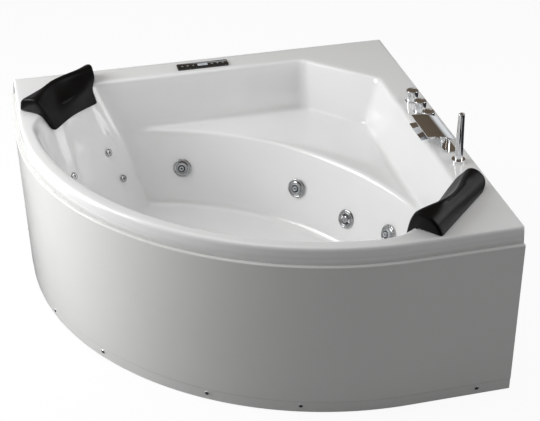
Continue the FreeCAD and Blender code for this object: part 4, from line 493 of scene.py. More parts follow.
# ---- meshes from arrays ----
def add_piece(name, vertices, faces, material, body, slot, crease=35.0):
    """Piece from vertex and face arrays: doubles merged, normals outwards, sharp over an angle."""
    mesh = bpy.data.meshes.new(name)
    mesh.from_pydata(vertices, [], faces)
    work = bmesh.new()
    work.from_mesh(mesh)
    bmesh.ops.remove_doubles(work, verts=work.verts, dist=1e-6)
    bmesh.ops.recalc_face_normals(work, faces=work.faces)
    limit = math.radians(crease)
    for edge in work.edges:
        edge.smooth = not edge.is_manifold or edge.calc_face_angle(0.0) < limit
    for face in work.faces:
        face.smooth = True
    work.to_mesh(mesh)
    work.free()
    mesh.materials.append(material)
    piece = bpy.data.objects.new(name, mesh)
    bpy.context.scene.collection.objects.link(piece)
    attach(piece, body)
    return piece


def loop_faces(rings, around, first=0, caps=True, ring_closed=False):
    """Quads between rings of points, each ring closed, with a face over each end ring."""
    i = np.arange(rings if ring_closed else rings - 1)[:, None]
    j = np.arange(around)[None, :]
    n = (i + 1) % rings
    m = (j + 1) % around
    corners = (i * around + j, i * around + m, n * around + m, n * around + j)
    quads = np.stack(np.broadcast_arrays(*corners), -1)
    faces = (quads.reshape(-1, 4) + first).tolist()
    if caps and not ring_closed:
        faces.append((first + np.arange(around)[::-1]).tolist())
        faces.append((first + (rings - 1) * around + np.arange(around)).tolist())
    return faces


def stacked(rings, caps=True, ring_closed=False):
    """Vertices and faces of one shape from an array of rings, (ring, point, xyz)."""
    count, around = rings.shape[:2]
    return rings.reshape(-1, 3).tolist(), loop_faces(count, around, 0, caps, ring_closed)


def together(shapes):
    """One list of vertices and one of faces from several shapes."""
    vertices, faces = [], []
    for some_vertices, some_faces in shapes:
        start = len(vertices)
        vertices += some_vertices
        faces += [[start + k for k in face] for face in some_faces]
    return vertices, faces


def eased(points, reach, steps=4, closed=False):
    """Polyline whose corners are quadratic curves: each starts a reach before its corner."""
    p = np.array(points, float)
    last = len(p)
    reach = np.broadcast_to(np.array(reach, float), (last,))
    t = np.linspace(0, 1, steps + 1)[:, None]
    out = [] if closed else [p[:1]]
    for i in range(last) if closed else range(1, last - 1):
        before, corner, after = p[i - 1], p[i], p[(i + 1) % last]
        a, b = before - corner, after - corner
        a_len, b_len = np.linalg.norm(a), np.linalg.norm(b)
        cut = min(reach[i], 0.48 * a_len, 0.48 * b_len)
        start, end = corner + a / a_len * cut, corner + b / b_len * cut
        out.append((1 - t) ** 2 * start + 2 * t * (1 - t) * corner + t ** 2 * end)
    if not closed:
        out.append(p[-1:])
    return np.concatenate(out)


def seat_axes(seat):
    """Three axes of a seat as columns: level across it, up along it and out of it."""
    point, facing = seat
    out = np.array(facing, float)
    across = np.cross((0.0, 0.0, 1.0), out) if abs(out[2]) < 0.999 else np.array((1.0, 0.0, 0.0))
    across /= np.linalg.norm(across)
    return np.array(point, float), across, np.cross(out, across), out


def turned(profile, seat, segments=64, wave=None):
    """Rings of a turned shape on a seat: a profile of radius and height, turned about the seat's
    outward axis. A wave gives the radii by angle instead, as for finger notches."""
    point, across, up, out = seat_axes(seat)
    turn = np.linspace(0, 2 * np.pi, segments, endpoint=False)
    radius = profile[:, :1] * np.ones(segments) if wave is None else wave(turn)
    height = profile[:, 1][:, None]
    rings = point + radius[..., None] * (
        np.cos(turn)[None, :, None] * across + np.sin(turn)[None, :, None] * up
    )
    return rings + height[..., None] * out


def lathe(profile, seat, segments=64, closed=False, wave=None):
    """One turned shape. Its profile is closed in itself, or runs from the axis to the axis."""
    return stacked(turned(profile, seat, segments, wave), False, closed)


def upright_seat(x, y, z=0.0):
    return (x, y, z), (0.0, 0.0, 1.0)


def rows_at(x, known_x, known_y):
    """Linear interpolation in every row at once: each row gets its own stretch of one line."""
    span = known_x.max() + 1.0
    step = np.arange(len(known_x))[:, None] * span
    flat = np.interp((x + step).ravel(), (known_x + step).ravel(), known_y.ravel())
    return flat.reshape(x.shape)


# ---- walls of the hollow ----
def rear_radius(z):
    return WELL_R - (SEAT_Z - z) * tan(WELL_DRAFT)


def front_radius(z):
    return RIM_R - FRONT_RIM_W - (RIM_Z - z) * tan(FRONT_DRAFT)


def backrest_half(z):
    return BACKREST_HALF - (RIM_Z - z) * tan(RECLINE)


def on_rear_wall(turn, z):
    r = rear_radius(z)
    facing = (-cos(turn) * cos(WELL_DRAFT), -sin(turn) * cos(WELL_DRAFT), sin(WELL_DRAFT))
    return (WELL_CENTRE + r * cos(turn), WELL_CENTRE + r * sin(turn), z), facing


def on_front_wall(turn, z):
    r = front_radius(z)
    facing = (-cos(turn) * cos(FRONT_DRAFT), -sin(turn) * cos(FRONT_DRAFT), sin(FRONT_DRAFT))
    return (ARC_CENTRE + r * cos(turn), ARC_CENTRE + r * sin(turn), z), facing


def left_point(along, across, z):
    """Point by its place along the left backrest and its distance from the middle plane."""
    return np.stack(np.broadcast_arrays((along - across) / ROOT2, (along + across) / ROOT2, z), -1)


def mirrored(points):
    """The same points on the other side of the plane x = y."""
    return points[..., [1, 0, 2]]


def on_left_backrest(along, z):
    facing = (cos(RECLINE) / ROOT2, -cos(RECLINE) / ROOT2, sin(RECLINE))
    return tuple(left_point(along, backrest_half(z), z)), facing


def on_right_backrest(along, z):
    point, facing = on_left_backrest(along, z)
    return (point[1], point[0], point[2]), (facing[1], facing[0], facing[2])


# ---- tub ----
TUB_MIDDLE = -0.040             # x and y of the upright line that every section is seen from
TUB_STEP = 0.008                # between rays, along the rim
TUB_DOWN = 66                   # points down each ray
TUB_FINE = 1500                 # and while its corners are rounded
OVER_ROWS = 6                   # heights from the rim to the bench
WELL_ROWS = 8                   # and from the bench to the floor
CORNER_ROWS = [1, 2, 7, 8, 15]  # rim, mouth, both edges of the bench, edge of the floor
RIM_CORNER_R = 0.005
RIM_EASE = 0.013
WALL_EDGE_EASE = 0.003
MOUTH_EASE = 0.015
BENCH_EASE = 0.020
NOSE_EASE = 0.016
FLOOR_EASE = 0.036
PLAIN_SPACING = 0.040           # between points down a ray, away from its corners
BACKREST_PANEL_DEPTH = 0.0045
BACKREST_PANEL_EDGE = 0.010
BACKREST_PANEL_FADE = 0.022     # half the width of its soft upper edge


def rim_outline():
    """Rim line seen from above, anticlockwise: straight runs and arcs with even steps."""
    corner = RIM_CORNER_R

    def run(start, end):
        count = max(2, int(np.hypot(end[0] - start[0], end[1] - start[1]) / TUB_STEP))
        t = np.linspace(0, 1, count, endpoint=False)[:, None]
        return np.array(start) * (1 - t) + np.array(end) * t

    def arc(x, y, radius, start, end, count):
        turn = np.radians(np.linspace(start, end, count, endpoint=False))
        return np.stack([x + radius * np.cos(turn), y + radius * np.sin(turn)], -1)

    near, far = -RIM_FRONT + corner, HALF - corner
    front_count = int(RIM_R * np.pi / 2 / TUB_STEP)
    return np.concatenate([
        arc(near, far, corner, 90, 180, 6),
        run((-RIM_FRONT, far), (-RIM_FRONT, ARC_CENTRE)),
        arc(ARC_CENTRE, ARC_CENTRE, RIM_R, 180, 270, front_count),
        run((ARC_CENTRE, -RIM_FRONT), (far, -RIM_FRONT)),
        arc(far, near, corner, 270, 360, 6),
        run((HALF, near), (HALF, far)),
        arc(far, far, corner, 0, 90, 6),
        run((far, HALF), (near, HALF)),
    ])


def blended_max(a, b, width):
    """Larger of two distances, with a rounded change over a width."""
    share = np.maximum(width - np.abs(a - b), 0.0) / width
    return np.maximum(a, b) + share ** 2 * width / 4


def outside_hollow(x, y, z, in_well):
    """How far a point is outside the hollow at its height: the largest distance past any wall."""
    drop = RIM_Z - z
    back = HALF - DECK_W - drop * tan(BACK_DRAFT)
    cut = (2 * (HALF - DECK_W) - CORNER_CUT) / ROOT2 - drop * tan(CORNER_DRAFT)
    half = backrest_half(z)
    d = blended_max(blended_max(y - back, x - back, 0.001), (x + y) / ROOT2 - cut, 0.018)
    d = blended_max(d, np.abs(y - x) / ROOT2 - half, 0.018)
    d = blended_max(d, np.hypot(x - ARC_CENTRE, y - ARC_CENTRE) - front_radius(z), 0.062)
    if in_well:
        d = blended_max(d, np.hypot(x - WELL_CENTRE, y - WELL_CENTRE) - rear_radius(z), 0.012)
    return d


def wall_reach(way, z, in_well):
    """Distance along each ray to the wall at each height, found by halving."""
    low = np.full((len(way), len(z)), 0.05)
    high = np.full_like(low, 1.5)
    for _ in range(30):
        middle = (low + high) / 2
        x = TUB_MIDDLE + middle * way[:, :1]
        y = TUB_MIDDLE + middle * way[:, 1:]
        outside = outside_hollow(x, y, z[None, :], in_well) > 0
        high = np.where(outside, middle, high)
        low = np.where(outside, low, middle)
    return (low + high) / 2


def backrest_panel(points):
    """Depth of the shallow panel in each backrest: a smooth step over each of its edges. The side
    edges are lines that spread downwards, and the upper one is a curve."""
    x, y, z = points[..., 0], points[..., 1], points[..., 2]
    along = (x + y) / ROOT2
    across = np.abs(y - x) / ROOT2
    rise = (z - 0.450) / 0.1

    def past(value, edge):
        return 0.5 + 0.5 * np.tanh((value - edge) / (BACKREST_PANEL_EDGE / 2))

    on_wall = past(BACKREST_PANEL_EDGE * 1.5, np.abs(across - backrest_half(z)))
    inside = past(along, -0.108 + 0.032 * rise) * past(0.112 - 0.028 * rise, along)
    upper = 0.5 - 0.5 * np.tanh((z - 0.535 - 0.2 * (along / 0.3) ** 2) / BACKREST_PANEL_FADE)
    return BACKREST_PANEL_DEPTH * on_wall * inside * past(z, 0.262) * upper


def tub_surface():
    """Points of the tub's upper surface, (ray, down, xyz). Down each ray the profile is a polyline:
    lip, rim, walls, bench, floor. It is rounded by a running mean whose length is set by the
    nearest corner, and then has more points near its corners."""
    outline = rim_outline()
    away = outline - TUB_MIDDLE
    rim_reach = np.linalg.norm(away, axis=1)
    way = away / rim_reach[:, None]
    z_over = np.linspace(RIM_Z, SEAT_Z, OVER_ROWS)
    z_well = np.linspace(SEAT_Z, FLOOR_Z, WELL_ROWS)
    over = wall_reach(way, z_over, False)
    well = np.minimum(wall_reach(way, z_well, True), over[:, -1:])
    rays = len(outline)
    at_wall = (outline.max(axis=1) > HALF - 0.001)[:, None]
    lip_reach = rim_reach[:, None] + np.where(at_wall, 0.0, LIP_FLARE)
    reach = np.concatenate([lip_reach, rim_reach[:, None], over, well, np.zeros((rays, 1))], 1)
    heights = np.concatenate([[LIP_Z, RIM_Z], z_over, z_well, [FLOOR_Z]])
    height = np.broadcast_to(heights, reach.shape)
    steps = np.hypot(np.diff(reach, axis=1), np.diff(height, axis=1))
    gone = np.concatenate([np.zeros((rays, 1)), np.cumsum(steps, axis=1)], 1)

    fine = TUB_FINE
    s = gone[:, -1:] * np.linspace(0, 1, fine)[None, :]
    r_fine = rows_at(s, gone, reach)
    z_fine = rows_at(s, gone, height)
    rim_ease = np.where(at_wall, WALL_EDGE_EASE, RIM_EASE)
    ones = np.ones((rays, 1))
    inner_eases = (MOUTH_EASE, BENCH_EASE, NOSE_EASE, FLOOR_EASE)
    ease = np.concatenate([rim_ease] + [ones * v for v in inner_eases], 1)
    corners = gone[:, CORNER_ROWS]
    apart = np.abs(s[:, :, None] - corners[:, None, :])
    nearest = apart.argmin(axis=2)
    window = np.take_along_axis(ease, nearest, axis=1)
    spacing = gone[:, -1:] / (fine - 1)
    half = np.maximum(1, np.round(window / spacing)).astype(int)
    place = np.arange(fine)[None, :]
    half = np.minimum(half, np.minimum(place, fine - 1 - place))

    def averaged(values):
        total = np.concatenate([np.zeros((rays, 1)), np.cumsum(values, axis=1)], 1)
        upper = np.take_along_axis(total, place + half + 1, axis=1)
        lower = np.take_along_axis(total, place - half, axis=1)
        return (upper - lower) / (2 * half + 1)

    r_round = averaged(r_fine)
    z_round = averaged(z_fine)
    width = ease[:, None, :]
    extra = np.exp(-((apart / (1.1 * width)) ** 2)) * 2.4 / width
    density = 1 / PLAIN_SPACING + extra.sum(axis=2)
    weight = np.cumsum(density * spacing, axis=1)
    weight = (weight - weight[:, :1]) / (weight[:, -1:] - weight[:, :1])
    pick = np.broadcast_to(np.linspace(0, 1, TUB_DOWN), (rays, TUB_DOWN))
    r = rows_at(pick, weight, r_round)
    z = rows_at(pick, weight, z_round)
    r[:, -1] = 0.0
    points = np.stack([TUB_MIDDLE + r * way[:, :1], TUB_MIDDLE + r * way[:, 1:], z], -1)
    points[..., :2] = np.minimum(points[..., :2], HALF)        # the flare stops at the walls
    depth = backrest_panel(points)
    side = np.sign(points[..., 1] - points[..., 0])
    points[..., 0] -= depth * cos(RECLINE) / ROOT2 * side
    points[..., 1] += depth * cos(RECLINE) / ROOT2 * side
    points[..., 2] -= depth * sin(RECLINE)
    return points


def add_tub():
    """Moulded tub: its upper surface, with a wall of the shell's thickness under it."""
    vertices, faces = stacked(np.swapaxes(tub_surface(), 0, 1), caps=False)
    tub = add_piece("tub_skin", vertices, faces, ACRYLIC, "bath", "acrylic", 50.0)
    lip_face = tub.data.polygons[0]
    away = Vector((lip_face.center.x - TUB_MIDDLE, lip_face.center.y - TUB_MIDDLE, 0))
    if lip_face.normal.dot(away) < 0:
        tub.data.flip_normals()
    wall = tub.modifiers.new("wall", "SOLIDIFY")
    wall.thickness = SHELL_T
    wall.offset = -1.0
    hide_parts("tub_shell")


# ---- apron ----
APRON_T = 0.004
APRON_TAPER = 0.001
APRON_FLANGE = 0.034
BAND_H = 0.042
BAND_STEP = 0.002
APRON_CLEAR = 0.006
APRON_END_STEPS = 16
APRON_ARC_STEPS = 150


def add_apron():
    """Front panel: one closed section carried along the straight ends and the curved front. The
    section is a radius from the front's centre and a height."""
    top = RIM_R + LEDGE
    low = APRON_CLEAR
    step = low + BAND_H
    band = top - APRON_TAPER - BAND_STEP
    section = [
        (top - APRON_FLANGE, LIP_Z),
        (top, LIP_Z),
        (top - APRON_TAPER, step + BAND_STEP),
        (band, step),
        (band, low),
        (band - APRON_T, low),
        (band - APRON_T, step + APRON_T / 2),
        (top - APRON_TAPER - APRON_T, step + BAND_STEP + APRON_T / 2),
        (top - APRON_T, LIP_Z - APRON_T),
        (top - APRON_FLANGE, LIP_Z - APRON_T),
    ]
    reach = (0.0006, 0.005, 0.002, 0.002, 0.0012, 0.0006, 0.002, 0.002, 0.003, 0.0006)
    profile = eased(section, reach, 5, closed=True)
    none, one = np.zeros(APRON_END_STEPS), np.ones(APRON_END_STEPS)
    ends = np.linspace(END_STRAIGHT, 0, APRON_END_STEPS)
    turn = np.radians(np.linspace(180, 270, APRON_ARC_STEPS))[1:-1]
    way = np.concatenate([
        np.stack([-one, none], -1),
        np.stack([np.cos(turn), np.sin(turn)], -1),
        np.stack([none, -one], -1),
    ])
    shift = np.concatenate([
        np.stack([none, ends], -1),
        np.zeros((len(turn), 2)),
        np.stack([ends[::-1], none], -1),
    ])
    flat = ARC_CENTRE + shift[:, None, :] + way[:, None, :] * profile[None, :, :1]
    height = np.broadcast_to(profile[None, :, 1:], flat.shape[:2] + (1,))
    vertices, faces = stacked(np.concatenate([flat, height], -1))
    apron = add_piece("apron_skin", vertices, faces, APRON_SHEET, "bath", "apron", 40.0)
    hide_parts("apron_panel")


# ---- pillows ----
PILLOW_NEAR = 0.176
PILLOW_FAR = 0.194
PILLOW_NEAR_SLANT = 0.08
PILLOW_FAR_SLANT = 0.39
PILLOW_FLARE = 0.24
PILLOW_REAR_W = BACKREST_HALF + 0.099
PILLOW_RIDGE_W = BACKREST_HALF + 0.030
PILLOW_H = 0.060
PILLOW_NEAR_RISE = 0.010
PILLOW_DROP = 0.0635
PILLOW_ARCH = 0.0065
PILLOW_THIN = 0.017
PILLOW_TIP = 0.005
PILLOW_HOOK = 0.120
PILLOW_HOLLOW = 0.025
PILLOW_HOLLOW_HALF = 0.190
PILLOW_GAP = 0.0004
PILLOW_STATIONS = 41
PILLOW_SOFT = 0.010             # radius of the edge round each end


def pillow_outline(along):
    """Closed outline across the pillow, (place across, height), at one place along it."""
    hollow = max(0.0, 1.0 - (along / PILLOW_HOLLOW_HALF) ** 2) ** 2
    deck = RIM_Z + PILLOW_GAP
    full = 0.5 + 0.5 * np.tanh(along / 0.09)
    crown = RIM_Z + PILLOW_H + PILLOW_NEAR_RISE * (1 - full)
    low = RIM_Z - PILLOW_DROP + PILLOW_ARCH * hollow
    back = backrest_half(low) - PILLOW_GAP
    fuller = (1 - hollow) * (1 - full)
    ridge = PILLOW_RIDGE_W + PILLOW_HOLLOW * hollow - 0.022 * fuller
    edge = BACKREST_HALF - PILLOW_THIN + PILLOW_HOLLOW * 0.3 * hollow - 0.012 * fuller
    corners = [
        (PILLOW_REAR_W, deck),
        (PILLOW_REAR_W - 0.004, RIM_Z + 0.014),
        (PILLOW_REAR_W - 0.016, crown - 0.026),
        (PILLOW_REAR_W - 0.036, crown - 0.008),
        (ridge + 0.013, crown),
        (ridge - 0.002, crown - 0.002),
        (ridge - 0.011, crown - 0.014 - 0.004 * hollow),
        ((ridge + edge) / 2 - 0.008 + 0.012 * hollow, RIM_Z + PILLOW_H * 0.40),
        (edge, RIM_Z - 0.012),
        (back - PILLOW_TIP - 0.006 * fuller, low + 0.002),
        (back, low),
        (BACKREST_HALF - PILLOW_GAP, deck),
    ]
    reach = (0.003, 0.02, 0.02, 0.02, 0.012, 0.008, 0.012, 0.03, 0.02, 0.002, 0.002, 0.001)
    return eased(corners, reach, 6, closed=True)


def pillow_rings():
    """Rings of the left pillow, (ring, point, xyz). Each end lies in a plane that leans inwards;
    its edge is rounded by shrinking the last rings towards the outline's middle."""
    stations = np.linspace(-1, 1, PILLOW_STATIONS)
    outlines = np.stack([pillow_outline(s * 0.177) for s in stations])
    ease = np.radians(np.linspace(0, 90, 6))
    soft = PILLOW_SOFT
    shrink = np.concatenate([1 - soft / 0.06 * (1 - np.cos(ease)), [0.72, 0.5, 0.28, 0.06]])
    swell = np.concatenate([soft * np.sin(ease), soft + 0.002 * np.array([0.5, 0.8, 0.95, 1.0])])
    rounds = len(shrink)
    first, last = np.repeat(outlines[:1], rounds, 0), np.repeat(outlines[-1:], rounds, 0)
    outlines = np.concatenate([first, outlines, last])
    scale = np.concatenate([shrink[::-1], np.ones(PILLOW_STATIONS), shrink])[:, None, None]
    centre = outlines.mean(axis=1, keepdims=True)
    outlines = centre + (outlines - centre) * scale
    across, z = outlines[..., 0], outlines[..., 1]
    fall = PILLOW_REAR_W - across
    near = -(PILLOW_NEAR - PILLOW_NEAR_SLANT * fall + PILLOW_FLARE * (z - RIM_Z)) + soft + 0.002
    far = PILLOW_FAR - PILLOW_FAR_SLANT * fall + PILLOW_FLARE * (z - RIM_Z)
    hooked = 1 / (1 + np.exp((z - RIM_Z - 0.004) / 0.008))
    far = far + (np.minimum(far, PILLOW_HOOK) - far) * hooked - soft - 0.002
    share = np.concatenate([np.zeros(rounds), (stations + 1) / 2, np.ones(rounds)])[:, None]
    beyond = np.concatenate([-swell[::-1], np.zeros(PILLOW_STATIONS), swell])[:, None]
    return left_point(near + (far - near) * share + beyond, across, z)


def add_pillows():
    for side, rings in (("left", pillow_rings()), ("right", mirrored(pillow_rings()))):
        vertices, faces = stacked(rings)
        pillow = add_piece(
            side + "_pillow_skin", vertices, faces, BLACK_SKIN, side + "_rest", "black_gloss", 55.0)
        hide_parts(side + "_pillow")


# ---- jets ----
JET_TURNS = (69.3, 43.3, 18.0)
JET_Z = 0.308
JET_FLANGE_R = 0.036
JET_FLANGE_T = 0.0025
RUN_GAP = 0.0003
JET_RING_T = 0.006
JET_BALL_R = 0.0202
SMALL_JETS = ((0.408, 0.067), (0.408, -0.147), (0.300, 0.080), (0.300, -0.160))
FLOOR_JETS = ((-0.195, 0.273), (0.273, -0.195))


def closed_profile(points, reach):
    """Closed polyline with eased corners, in four steps each."""
    return eased(points, reach, 4, closed=True)


def add_jets():
    """Each jet: a dished ring with finger notches that turns, and an eyeball with a nozzle in a groove,
    which tilts inside it. The groove and the nozzle's bore have dark sheets of painted shade on their
    floors."""
    lift = JET_FLANGE_R ** 2 / (2 * rear_radius(JET_Z)) + 0.0001
    low = lift + JET_FLANGE_T + RUN_GAP
    bore = JET_BALL_R + RUN_GAP
    ring = closed_profile([
        (bore, low), (bore, low + 0.0030), (0.0225, low + 0.0048), (0.0250, low + 0.0040),
        (0.0300, low + 0.0030), (0.0312, low + 0.0056), (0.0345, low + JET_RING_T),
        (0.0368, low + 0.0044), (0.0374, low + 0.0020), (0.0374, low),
    ], (0.0004, 0.001, 0.001, 0.002, 0.001, 0.001, 0.0015, 0.0015, 0.001, 0.0004))

    def notches(turn):
        """Eight shallow notches round the ring's outer part."""
        dip = np.maximum(0, np.cos(8 * turn)) ** 6
        outer = np.clip((ring[:, 0] - 0.031) / 0.006, 0, 1)[:, None]
        return ring[:, :1] - 0.0018 * outer * dip[None, :]

    centre = low + JET_RING_T / 2
    rise = np.linspace(-0.08, 0.62, 12) * JET_BALL_R
    ball = np.stack([np.sqrt(JET_BALL_R ** 2 - rise ** 2), centre + rise], -1)
    groove = [(0.0150, centre + 0.0080), (0.0092, centre + 0.0080), (0.0090, centre + 0.0150)]
    mouth = [
        (0.0078, centre + 0.0165), (0.0050, centre + 0.0150), (0.0044, centre + 0.0050),
        (0.0, centre + 0.0050),
    ]
    nozzle = np.concatenate([ball, eased([tuple(ball[-1])] + groove + mouth, 0.0006, 3)[1:]])
    nozzle = np.concatenate([nozzle, [(0.0, centre + rise[0])]])
    # Dark ring on the groove's floor: painted shade of the groove.
    dark = closed_profile([
        (0.0094, centre + 0.0081), (0.0094, centre + 0.0092), (0.0149, centre + 0.0092),
        (0.0149, centre + 0.0081),
    ], 0.0002)
    # Dark disc on the bore's floor: painted shade of the bore.
    bore_shade = np.array([
        (0.0, centre + 0.0051), (0.0043, centre + 0.0051), (0.0043, centre + 0.0062),
        (0.0, centre + 0.0062),
    ])
    for number, turn in enumerate(JET_TURNS, 1):
        seat = on_rear_wall(turn, JET_Z)
        body = "jet_eye_%d" % number
        holder = "jet_ring_%d" % number
        shape = lathe(ring, seat, 128, True, notches)
        face = add_piece(holder, *shape, SHADED_JET_CHROME, holder, "chrome")
        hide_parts("jet_face_%d" % number)
        eye = add_piece(body, *lathe(nozzle, seat, closed=True), NOZZLE, body, "nozzle_white")
        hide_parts("jet_nozzle_%d" % number)
        shapes = [lathe(dark, seat, closed=True), lathe(bore_shade, seat, 32)]
        add_piece("jet_groove_%d" % number, *together(shapes), SHADE_IN_HOLES, body, "black_plastic")


SUCTION_TURN = 30.0
SUCTION_Z = 0.270


def add_suction_cover():
    """Domed cover in rings: a flange, a groove, a grille with slots, and a cap in the middle. A dark
    disc behind them is painted shade that shows through the groove and the slots.
    """
    seat = on_rear_wall(SUCTION_TURN, SUCTION_Z)
    flange = closed_profile([
        (0.0285, 0.0008), (0.0285, 0.0050), (0.0300, 0.0066), (0.0335, 0.0062), (0.0362, 0.0042),
        (0.0370, 0.0022), (0.0370, 0.0008),
    ], (0.0003, 0.001, 0.001, 0.002, 0.002, 0.001, 0.0003))
    inner = closed_profile([
        (0.0215, 0.0030), (0.0215, 0.0060), (0.0228, 0.0068), (0.0252, 0.0066), (0.0262, 0.0058),
        (0.0262, 0.0030),
    ], (0.0003, 0.001, 0.001, 0.001, 0.001, 0.0003))
    cap = eased([
        (0.0, 0.0020), (0.0128, 0.0020), (0.0130, 0.0080), (0.0118, 0.0098), (0.0070, 0.0108),
        (0.0, 0.0110),
    ], 0.0012, 4)
    shapes = [lathe(profile, seat, 96, closed=True) for profile in (flange, inner)]
    shapes.append(lathe(cap, seat))
    point, across, up, out = seat_axes(seat)
    corners = [(-0.0009, 0.0032), (0.0009, 0.0032), (0.0009, 0.0058), (0.0, 0.0062), (-0.0009, 0.0058)]
    for turn in np.radians(np.arange(0, 360, 15)):
        way = np.cos(turn) * across + np.sin(turn) * up
        side = np.cross(out, way)
        rib = [
            [point + way * r + side * a + out * h for a, h in corners]
            for r in (0.0125, 0.0220, 0.0222)
        ]
        shapes.append(stacked(np.array(rib)))
    cover = add_piece("suction_cover_skin", *together(shapes), SHADED_JET_CHROME, "bath", "chrome")
    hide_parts("suction_cover")
    # Dark disc behind the cover: painted shade of the opening, seen through the groove and the slots.
    back = np.array([(0.0, 0.0006), (0.0290, 0.0006), (0.0290, 0.0026), (0.0, 0.0026)])
    add_piece("suction_back", *lathe(back, seat), SHADE_IN_HOLES, "bath", "black_plastic")


def small_cap(seat):
    """Low domed cap with a stepped bore."""
    profile = closed_profile([
        (0.0036, 0.0003), (0.0036, 0.0030), (0.0060, 0.0042), (0.0110, 0.0040),
        (0.0146, 0.0024), (0.0150, 0.0003),
    ], (0.0002, 0.0006, 0.001, 0.002, 0.001, 0.0003))
    return lathe(profile, seat, 48, closed=True)


def add_small_jets():
    shapes = []
    for z, along in SMALL_JETS:
        shapes.append(small_cap(on_left_backrest(along, z)))
        shapes.append(small_cap(on_right_backrest(along, z)))
    caps = add_piece("small_jet_caps", *together(shapes), SHADED_JET_CHROME, "bath", "chrome")
    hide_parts("small_jet_faces")
    shapes = [small_cap(upright_seat(x, y, FLOOR_Z)) for x, y in FLOOR_JETS]
    add_piece("floor_jet_caps", *together(shapes), CHROME, "bath", "chrome")


# ---- taps, spout, hand shower ----
TAP_X = 0.702
TAP_Y = {"hot": 0.182, "diverter": 0.093, "cold": 0.004}
KNOB_R = 0.023
KNOB_H = 0.042
TAP_FLANGE_T = 0.005
HAND_AT = (0.708, -0.290)
HAND_RING_T = 0.009
HAND_TOP = 0.827
SPRAY_RINGS = ((0.0, 1), (0.0026, 6), (0.0052, 12))


def add_knobs():
    """Tap knobs: turned drum with a dished top, a shadow line and a fine grip below it."""
    low = RIM_Z + TAP_FLANGE_T + RUN_GAP
    top = low + KNOB_H
    profile = eased([
        (0.0, low), (KNOB_R - 0.0012, low), (KNOB_R, low + 0.0012), (KNOB_R, low + 0.0040),
        (KNOB_R - 0.0012, low + 0.0046), (KNOB_R - 0.0012, low + 0.0064), (KNOB_R, low + 0.0070),
        (KNOB_R, top - 0.0012), (KNOB_R - 0.0012, top), (KNOB_R - 0.0050, top),
        (KNOB_R - 0.0060, top - 0.0010), (0.0, top - 0.0014),
    ], 0.0008, 3)
    for name, y in TAP_Y.items():
        knob = add_piece(
            name + "_knob", *lathe(profile, upright_seat(TAP_X, y), 96), CHROME, name, "chrome")
        stem = np.array([(0.0, low), (0.008, low), (0.008, RIM_Z - 0.050), (0.0, RIM_Z - 0.050)])
        shaft = add_piece(
            name + "_stem", *lathe(stem, upright_seat(TAP_X, y), 32), CHROME, name, "chrome")
        mark = np.array([(0.0, 0.0), (0.0016, 0.0), (0.0016, 0.0005), (0.0012, 0.0007), (0.0, 0.0007)])
        seat = ((TAP_X - KNOB_R, y, top - 0.009), (-1.0, 0.0, 0.0))
        add_piece(name + "_mark", *lathe(mark, seat, 20), BLACK_FRAME, name, "black_gloss")
        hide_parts(name + "_handle")
        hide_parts(name + "_handle")


def add_hand_shower():
    """Slim stick: tapered grip, a spray face on top, and its neck."""
    x, y = HAND_AT
    low = RIM_Z + HAND_RING_T + RUN_GAP

    def radius(z):
        return 0.0145 - 0.0040 * (z - low) / (HAND_TOP - low)

    profile = eased([
        (0.0, low - 0.095), (0.009, low - 0.095), (0.009, low), (radius(low) - 0.0005, low),
        (radius(low), low + 0.001), (radius(HAND_TOP) + 0.0001, HAND_TOP - 0.0020), (0.0098, HAND_TOP),
        (0.0078, HAND_TOP), (0.0074, HAND_TOP - 0.0008), (0.0, HAND_TOP - 0.0008),
    ], 0.0006, 3)
    stick = add_piece(
        "shower_stick", *lathe(profile, upright_seat(x, y)), CHROME, "shower_stick", "chrome")
    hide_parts("hand_shower")
    dot = np.array([(0.0, 0.0), (0.0005, 0.0), (0.0005, 0.0007), (0.0, 0.0007)])
    shapes = []
    for ring, count in SPRAY_RINGS:
        for i in range(count):
            turn = 2 * math.pi * i / count
            seat = upright_seat(x + ring * math.cos(turn), y + ring * math.sin(turn), HAND_TOP - 0.0008)
            shapes.append(lathe(dot, seat, 10))
    add_piece("spray_dots", *together(shapes), BLACK_FRAME, "shower_stick", "black_gloss")


# ---- keypad ----
PANEL_AT = (0.002, 0.696)
PANEL_SIZE = (0.205, 0.050)
PANEL_TOP = RIM_Z + 0.006
PANEL_CORNER_R = 0.006
KEY_R = 0.0042
KEY_FIRST = 0.038               # from the middle to the first key on each side
KEY_PITCH = 0.022


def rounded_box(x, y, width, depth, corner, levels):
    """Rings of a low plate with round corners: each level is a height and an inset."""
    turn = np.radians(np.arange(0, 360, 10))
    quarter = np.arange(len(turn)) * 4 // len(turn)
    sx = np.array([1, -1, -1, 1])[quarter]
    sy = np.array([1, 1, -1, -1])[quarter]
    rings = []
    for z, inset in levels:
        r = max(corner - inset, 0.0002)
        px = x + sx * (width / 2 - inset - r) + r * np.cos(turn)
        py = y + sy * (depth / 2 - inset - r) + r * np.sin(turn)
        rings.append(np.stack([px, py, np.full(len(turn), z)], -1))
    return np.stack(rings)


